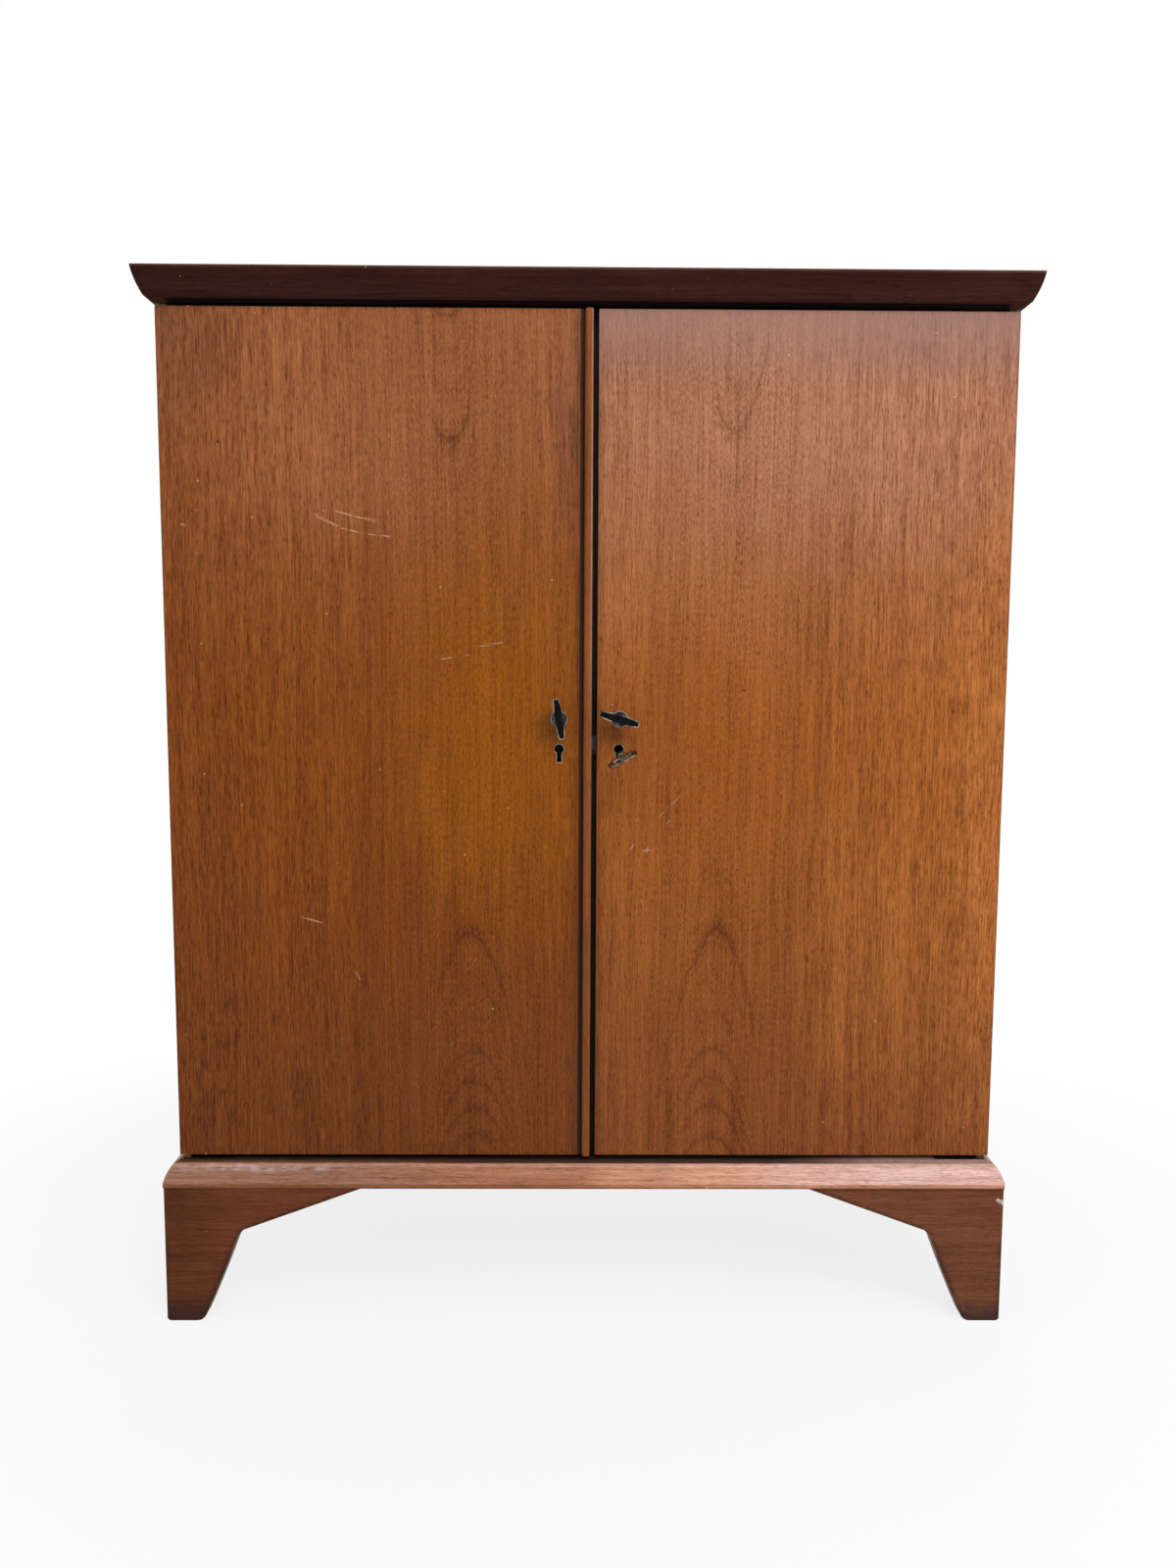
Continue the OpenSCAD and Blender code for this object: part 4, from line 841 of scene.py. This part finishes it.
def makeKey():
    look = keyLook
    doorHalf = (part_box("right_door_panel")[1].y - frontY) / 2
    mesh = bmesh.new()
    bowY = -doorHalf - look["out"] + look["bowLong"] / 2
    tip = doorHalf + look["reach"]
    # the bow: two nested ovals bridged, thickened and rounded to a soft section
    half = (look["bowWide"] - look["bowLong"]) / 2
    loops = []
    for radius in (look["bowLong"] / 2, look["bowLong"] / 2 - look["bowRim"]):
        made = bmesh.ops.create_circle(mesh, segments=40, radius=radius, matrix=turn(4.5, "Z"))["verts"]
        for way in (half, -half):
            bmesh.ops.translate(mesh, vec=(way, 0, 0), verts=[v for v in made if v.co.x * way > 0])
        loops += once(e for v in made for e in v.link_edges)
    flat = bmesh.ops.bridge_loops(mesh, edges=loops)["faces"]
    pushOut(mesh, flat, (0, 0, look["bowThick"]), use_keep_orig=True)
    bmesh.ops.translate(mesh, vec=(0, 0, -look["bowThick"] / 2), verts=mesh.verts)
    bmesh.ops.recalc_face_normals(mesh, faces=mesh.faces)
    softBevel(mesh, sharpEdges(mesh, 1.2), look["bowThick"] * 0.42, 4)
    bmesh.ops.transform(mesh, matrix=Matrix.Translation((0, bowY, 0)) @ turn(90, "Y"), verts=mesh.verts)
    # shank with its collar rings and rounded tip
    start = bowY + look["bowLong"] / 2 - 0.002
    r = look["shank"]
    rings = [(0.0011, 0.0012), (0.0012, 0.0022), (0.0002, 0.0028), (0.001, 0.0036), (0.0002, 0.0046), (0.0, 0.005)]
    turned(mesh, [(0.0001, start), (r * 0.92, start), (r, start + 0.001), *[(r + out, start + y) for out, y in rings],
                  (r, tip - 0.0008), (r * 0.7, tip), (0.0001, tip)])
    # bit with two ward cuts: distance from the tip, height
    low, high = look["bitHeights"]
    outline = [(0.008, low), (0.008, high), (0.0062, high), (0.0062, 0.0055), (0.0054, 0.0055), (0.0054, high),
               (0.0038, high), (0.0038, 0.0062), (0.003, 0.0062), (0.003, high), (0.002, high), (0.002, low)]
    bit = mesh.faces.new([mesh.verts.new((-look["bitThick"] / 2, tip - back, z)) for back, z in outline])
    pushOut(mesh, [bit], (look["bitThick"], 0, 0), use_keep_orig=True)
    place = (Matrix.Translation((look["x"], frontY + doorHalf, look["z"])) @ turn(look["lean"], "Z")
             @ turn(look["droop"], "X") @ turn(90 - look["turn"], "Y"))
    finishPiece(mesh, "keyFiled", "turning_key", ["wornKey"], place, ["key"])


toeRound = 0.0065


def makeFoot(end, side):  # a merged copy of the foot, its toes' inner corners worn round
    name = f"{end}_{side}_foot"
    look, width = finishes[name]
    mesh = bmesh.new()
    mesh.from_mesh(nodes[name].data)
    bmesh.ops.remove_doubles(mesh, verts=mesh.verts, dist=weldDistance)
    bmesh.ops.dissolve_limit(mesh, angle_limit=flatAngle, verts=mesh.verts, edges=mesh.edges)
    toes = [e for e in sharpEdges(mesh, 0.9, 1.4)
            if max(v.co.z for v in e.verts) < 0.0002 and e.calc_length() > 0.01]
    softBevel(mesh, toes, toeRound, 4)
    piece = finishPiece(mesh, f"{end}{side.title()}FootWorn", "case", [look], None, [name], 20)
    easeEdges(piece, width)


screwLook = {"radius": 0.003, "strikeRadius": 0.0026, "proud": 0.0006, "slot": 0.0008, "lockInset": 0.006,
             "strikeDepth": 0.011, "strikeHeights": (0.6305, 0.6605)}
nailLook = {"radius": 0.0017, "step": 0.125, "sideInset": 0.008, "endInset": 0.009, "flat": 0.35}


def addScrew(mesh, spot, facing, radius, angle):  # a slotted head: a low disc with two half rounds on it
    made = bmesh.new()
    proud = screwLook["proud"]

    def disc(under, over, depth, height):
        return bmesh.ops.create_cone(made, cap_ends=True, segments=20, radius1=under, radius2=over, depth=depth,
                                     matrix=Matrix.Translation((0, 0, height)))["verts"]

    disc(radius, radius * 0.97, proud * 0.4, proud * 0.2)
    for side in (1, -1):
        half = disc(radius * 0.97, radius * 0.72, proud * 0.6, proud * 0.7)
        parts = once(part for v in half for part in (v, *v.link_edges, *v.link_faces))
        cut = bmesh.ops.bisect_plane(made, geom=parts, plane_co=(0, side * screwLook["slot"] / 2, 0),
                                     plane_no=(0, -side, 0), clear_outer=True)["geom_cut"]
        bmesh.ops.edgeloop_fill(made, edges=[e for e in cut if isinstance(e, bmesh.types.BMEdge)])
    aim = Vector(facing).to_track_quat("Z", "Y").to_matrix().to_4x4()
    place = Matrix.Translation(spot) @ aim @ Matrix.Rotation(angle, 4, "Z")
    bmesh.ops.transform(made, matrix=place, verts=made.verts)
    spare = stored(made, "screwHead")
    mesh.from_mesh(spare)
    bpy.data.meshes.remove(spare)


def insideCorners(box, inX, inZ):
    low, high = box
    return (low.x + inX, high.x - inX), (low.z + inZ, high.z - inZ)


def makeScrews():
    for side in sides:
        mesh = bmesh.new()
        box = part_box(side + "_lock_cover")
        acrossX, upZ = insideCorners(box, screwLook["lockInset"], screwLook["lockInset"])
        for count, (z, x) in enumerate((z, x) for z in upZ for x in acrossX):
            addScrew(mesh, (x, box[1].y, z), (0, 1, 0), screwLook["radius"], 0.4 + count * 0.9)
        finishPiece(mesh, side + "LockScrews", side + "_door", ["plainSteel"])
    mesh = bmesh.new()
    low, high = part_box("centre_partition")
    for face, way in ((low.x, -1), (high.x, 1)):
        for count, z in enumerate(screwLook["strikeHeights"]):
            spot = (face, low.y + screwLook["strikeDepth"], z)
            addScrew(mesh, spot, (way, 0, 0), screwLook["strikeRadius"], 0.7 + count)
    finishPiece(mesh, "strikeScrews", "case", ["plainSteel"])
    mesh = bmesh.new()
    low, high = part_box("back_panel")
    across, upward = int((high.x - low.x) / nailLook["step"]), int((high.z - low.z) / nailLook["step"])
    (left, right), (bottom, top) = insideCorners((low, high), nailLook["sideInset"], nailLook["endInset"])
    spots = [(left + (right - left) * i / across, z) for i in range(across + 1) for z in (bottom, top)]
    spots += [(x, bottom + (top - bottom) * i / upward) for i in range(1, upward) for x in (left, right, 0.0)]
    for x, z in spots:
        place = Matrix.Translation((x, high.y, z)) @ Matrix.Diagonal((1, nailLook["flat"], 1, 1))
        bmesh.ops.create_uvsphere(mesh, u_segments=10, v_segments=6, radius=nailLook["radius"], matrix=place)
    finishPiece(mesh, "backPanelNails", "case", ["plainSteel"])


for side in sides:
    makeKnob(side)
makeKey()
makeScrews()
for end in ("front", "rear"):
    for side in sides:
        makeFoot(end, side)
print("scene: knobs, key and small fixings built")


# camera, light and floor

view = {"lens": 27.0, "place": (-0.0098, frontY - 1.2634, 0.7269), "yaw": -0.5, "pitch": -5.68, "roll": -0.28}
lamps = [  # name, watts, size, place, target
    ("sky", 46.0, 1.7, (0.6, -2.1, 2.6), (0.0, -0.1, 0.6)),
    ("rightFill", 16.0, 1.8, (2.4, -1.5, 1.5), (0.1, 0.0, 0.6)),
    ("leftFill", 8.0, 1.8, (-2.5, -1.0, 1.3), (0.0, 0.0, 0.5)),
    ("backFill", 22.0, 2.2, (0.4, 2.6, 2.3), (0.0, 0.1, 0.6)),
]
roomLook = {"colour": (0.95, 0.97, 1.0), "strength": 0.55}
floorLook = {"colour": (0.86, 0.86, 0.86), "roughness": 0.8, "specular": 0.1, "radius": 9.0,
             "paleFrom": 0.45, "whiteFrom": 1.1, "pale": 0.8}


def makeCamera():
    data = bpy.data.cameras.new("photoCamera")
    data.lens, data.clip_start = view["lens"], 0.01
    camera = linked("photoCamera", data)
    aim = turn(view["yaw"], "Z") @ turn(view["pitch"], "X") @ turn(view["roll"], "Y") @ turn(90, "X")
    camera.matrix_world = Matrix.Translation(view["place"]) @ aim
    bpy.context.scene.camera = camera


def makeLamps():
    for name, power, size, place, target in lamps:
        data = bpy.data.lights.new(name, "AREA")
        data.energy, data.size = power, size
        aim = (Vector(target) - Vector(place)).to_track_quat("-Z", "Y").to_matrix().to_4x4()
        linked(name, data).matrix_world = Matrix.Translation(place) @ aim


def seenAs(net, first, second, share=None):  # the second shader where the camera looks, also in glass
    rays = net.node("ShaderNodeLightPath").outputs
    seen = net.most(net.most(rays["Is Camera Ray"], rays["Is Transmission Ray"]), rays["Is Glossy Ray"])
    blend = net.node("ShaderNodeMixShader", share * seen if share else seen, first.outputs[0], second.outputs[0])
    net.put(net.surface, blend.outputs[0])


def makeWorld():
    world = bpy.data.worlds.new("softRoom")
    bpy.context.scene.world = world
    net = startTree(world, "ShaderNodeOutputWorld")
    room = net.node("ShaderNodeBackground", roomLook["colour"], roomLook["strength"])
    seenAs(net, room, net.node("ShaderNodeBackground", (1, 1, 1), 1.0))


def makeFloor():
    mesh = bmesh.new()
    bmesh.ops.create_circle(mesh, cap_ends=True, segments=64, radius=floorLook["radius"])
    floor = linked("floor", stored(mesh, "floor"))
    material, net, shader, spot = startMaterial("paleFloor")
    net.feed(shader, {"Base Color": floorLook["colour"], "Roughness": floorLook["roughness"],
                      "Specular IOR Level": floorLook["specular"]})
    away = net.vector("LENGTH", net.vector("MULTIPLY", spot, (0.8, 1.0, 0.0)))
    share = net.range(away, floorLook["paleFrom"], floorLook["whiteFrom"], floorLook["pale"], 1.0)
    seenAs(net, shader, net.node("ShaderNodeEmission"), share)
    floor.data.materials.append(material)


makeCamera()
makeLamps()
makeWorld()
makeFloor()
bpy.context.scene.view_settings.view_transform = "Standard"
print("scene: camera, lamps and floor set")
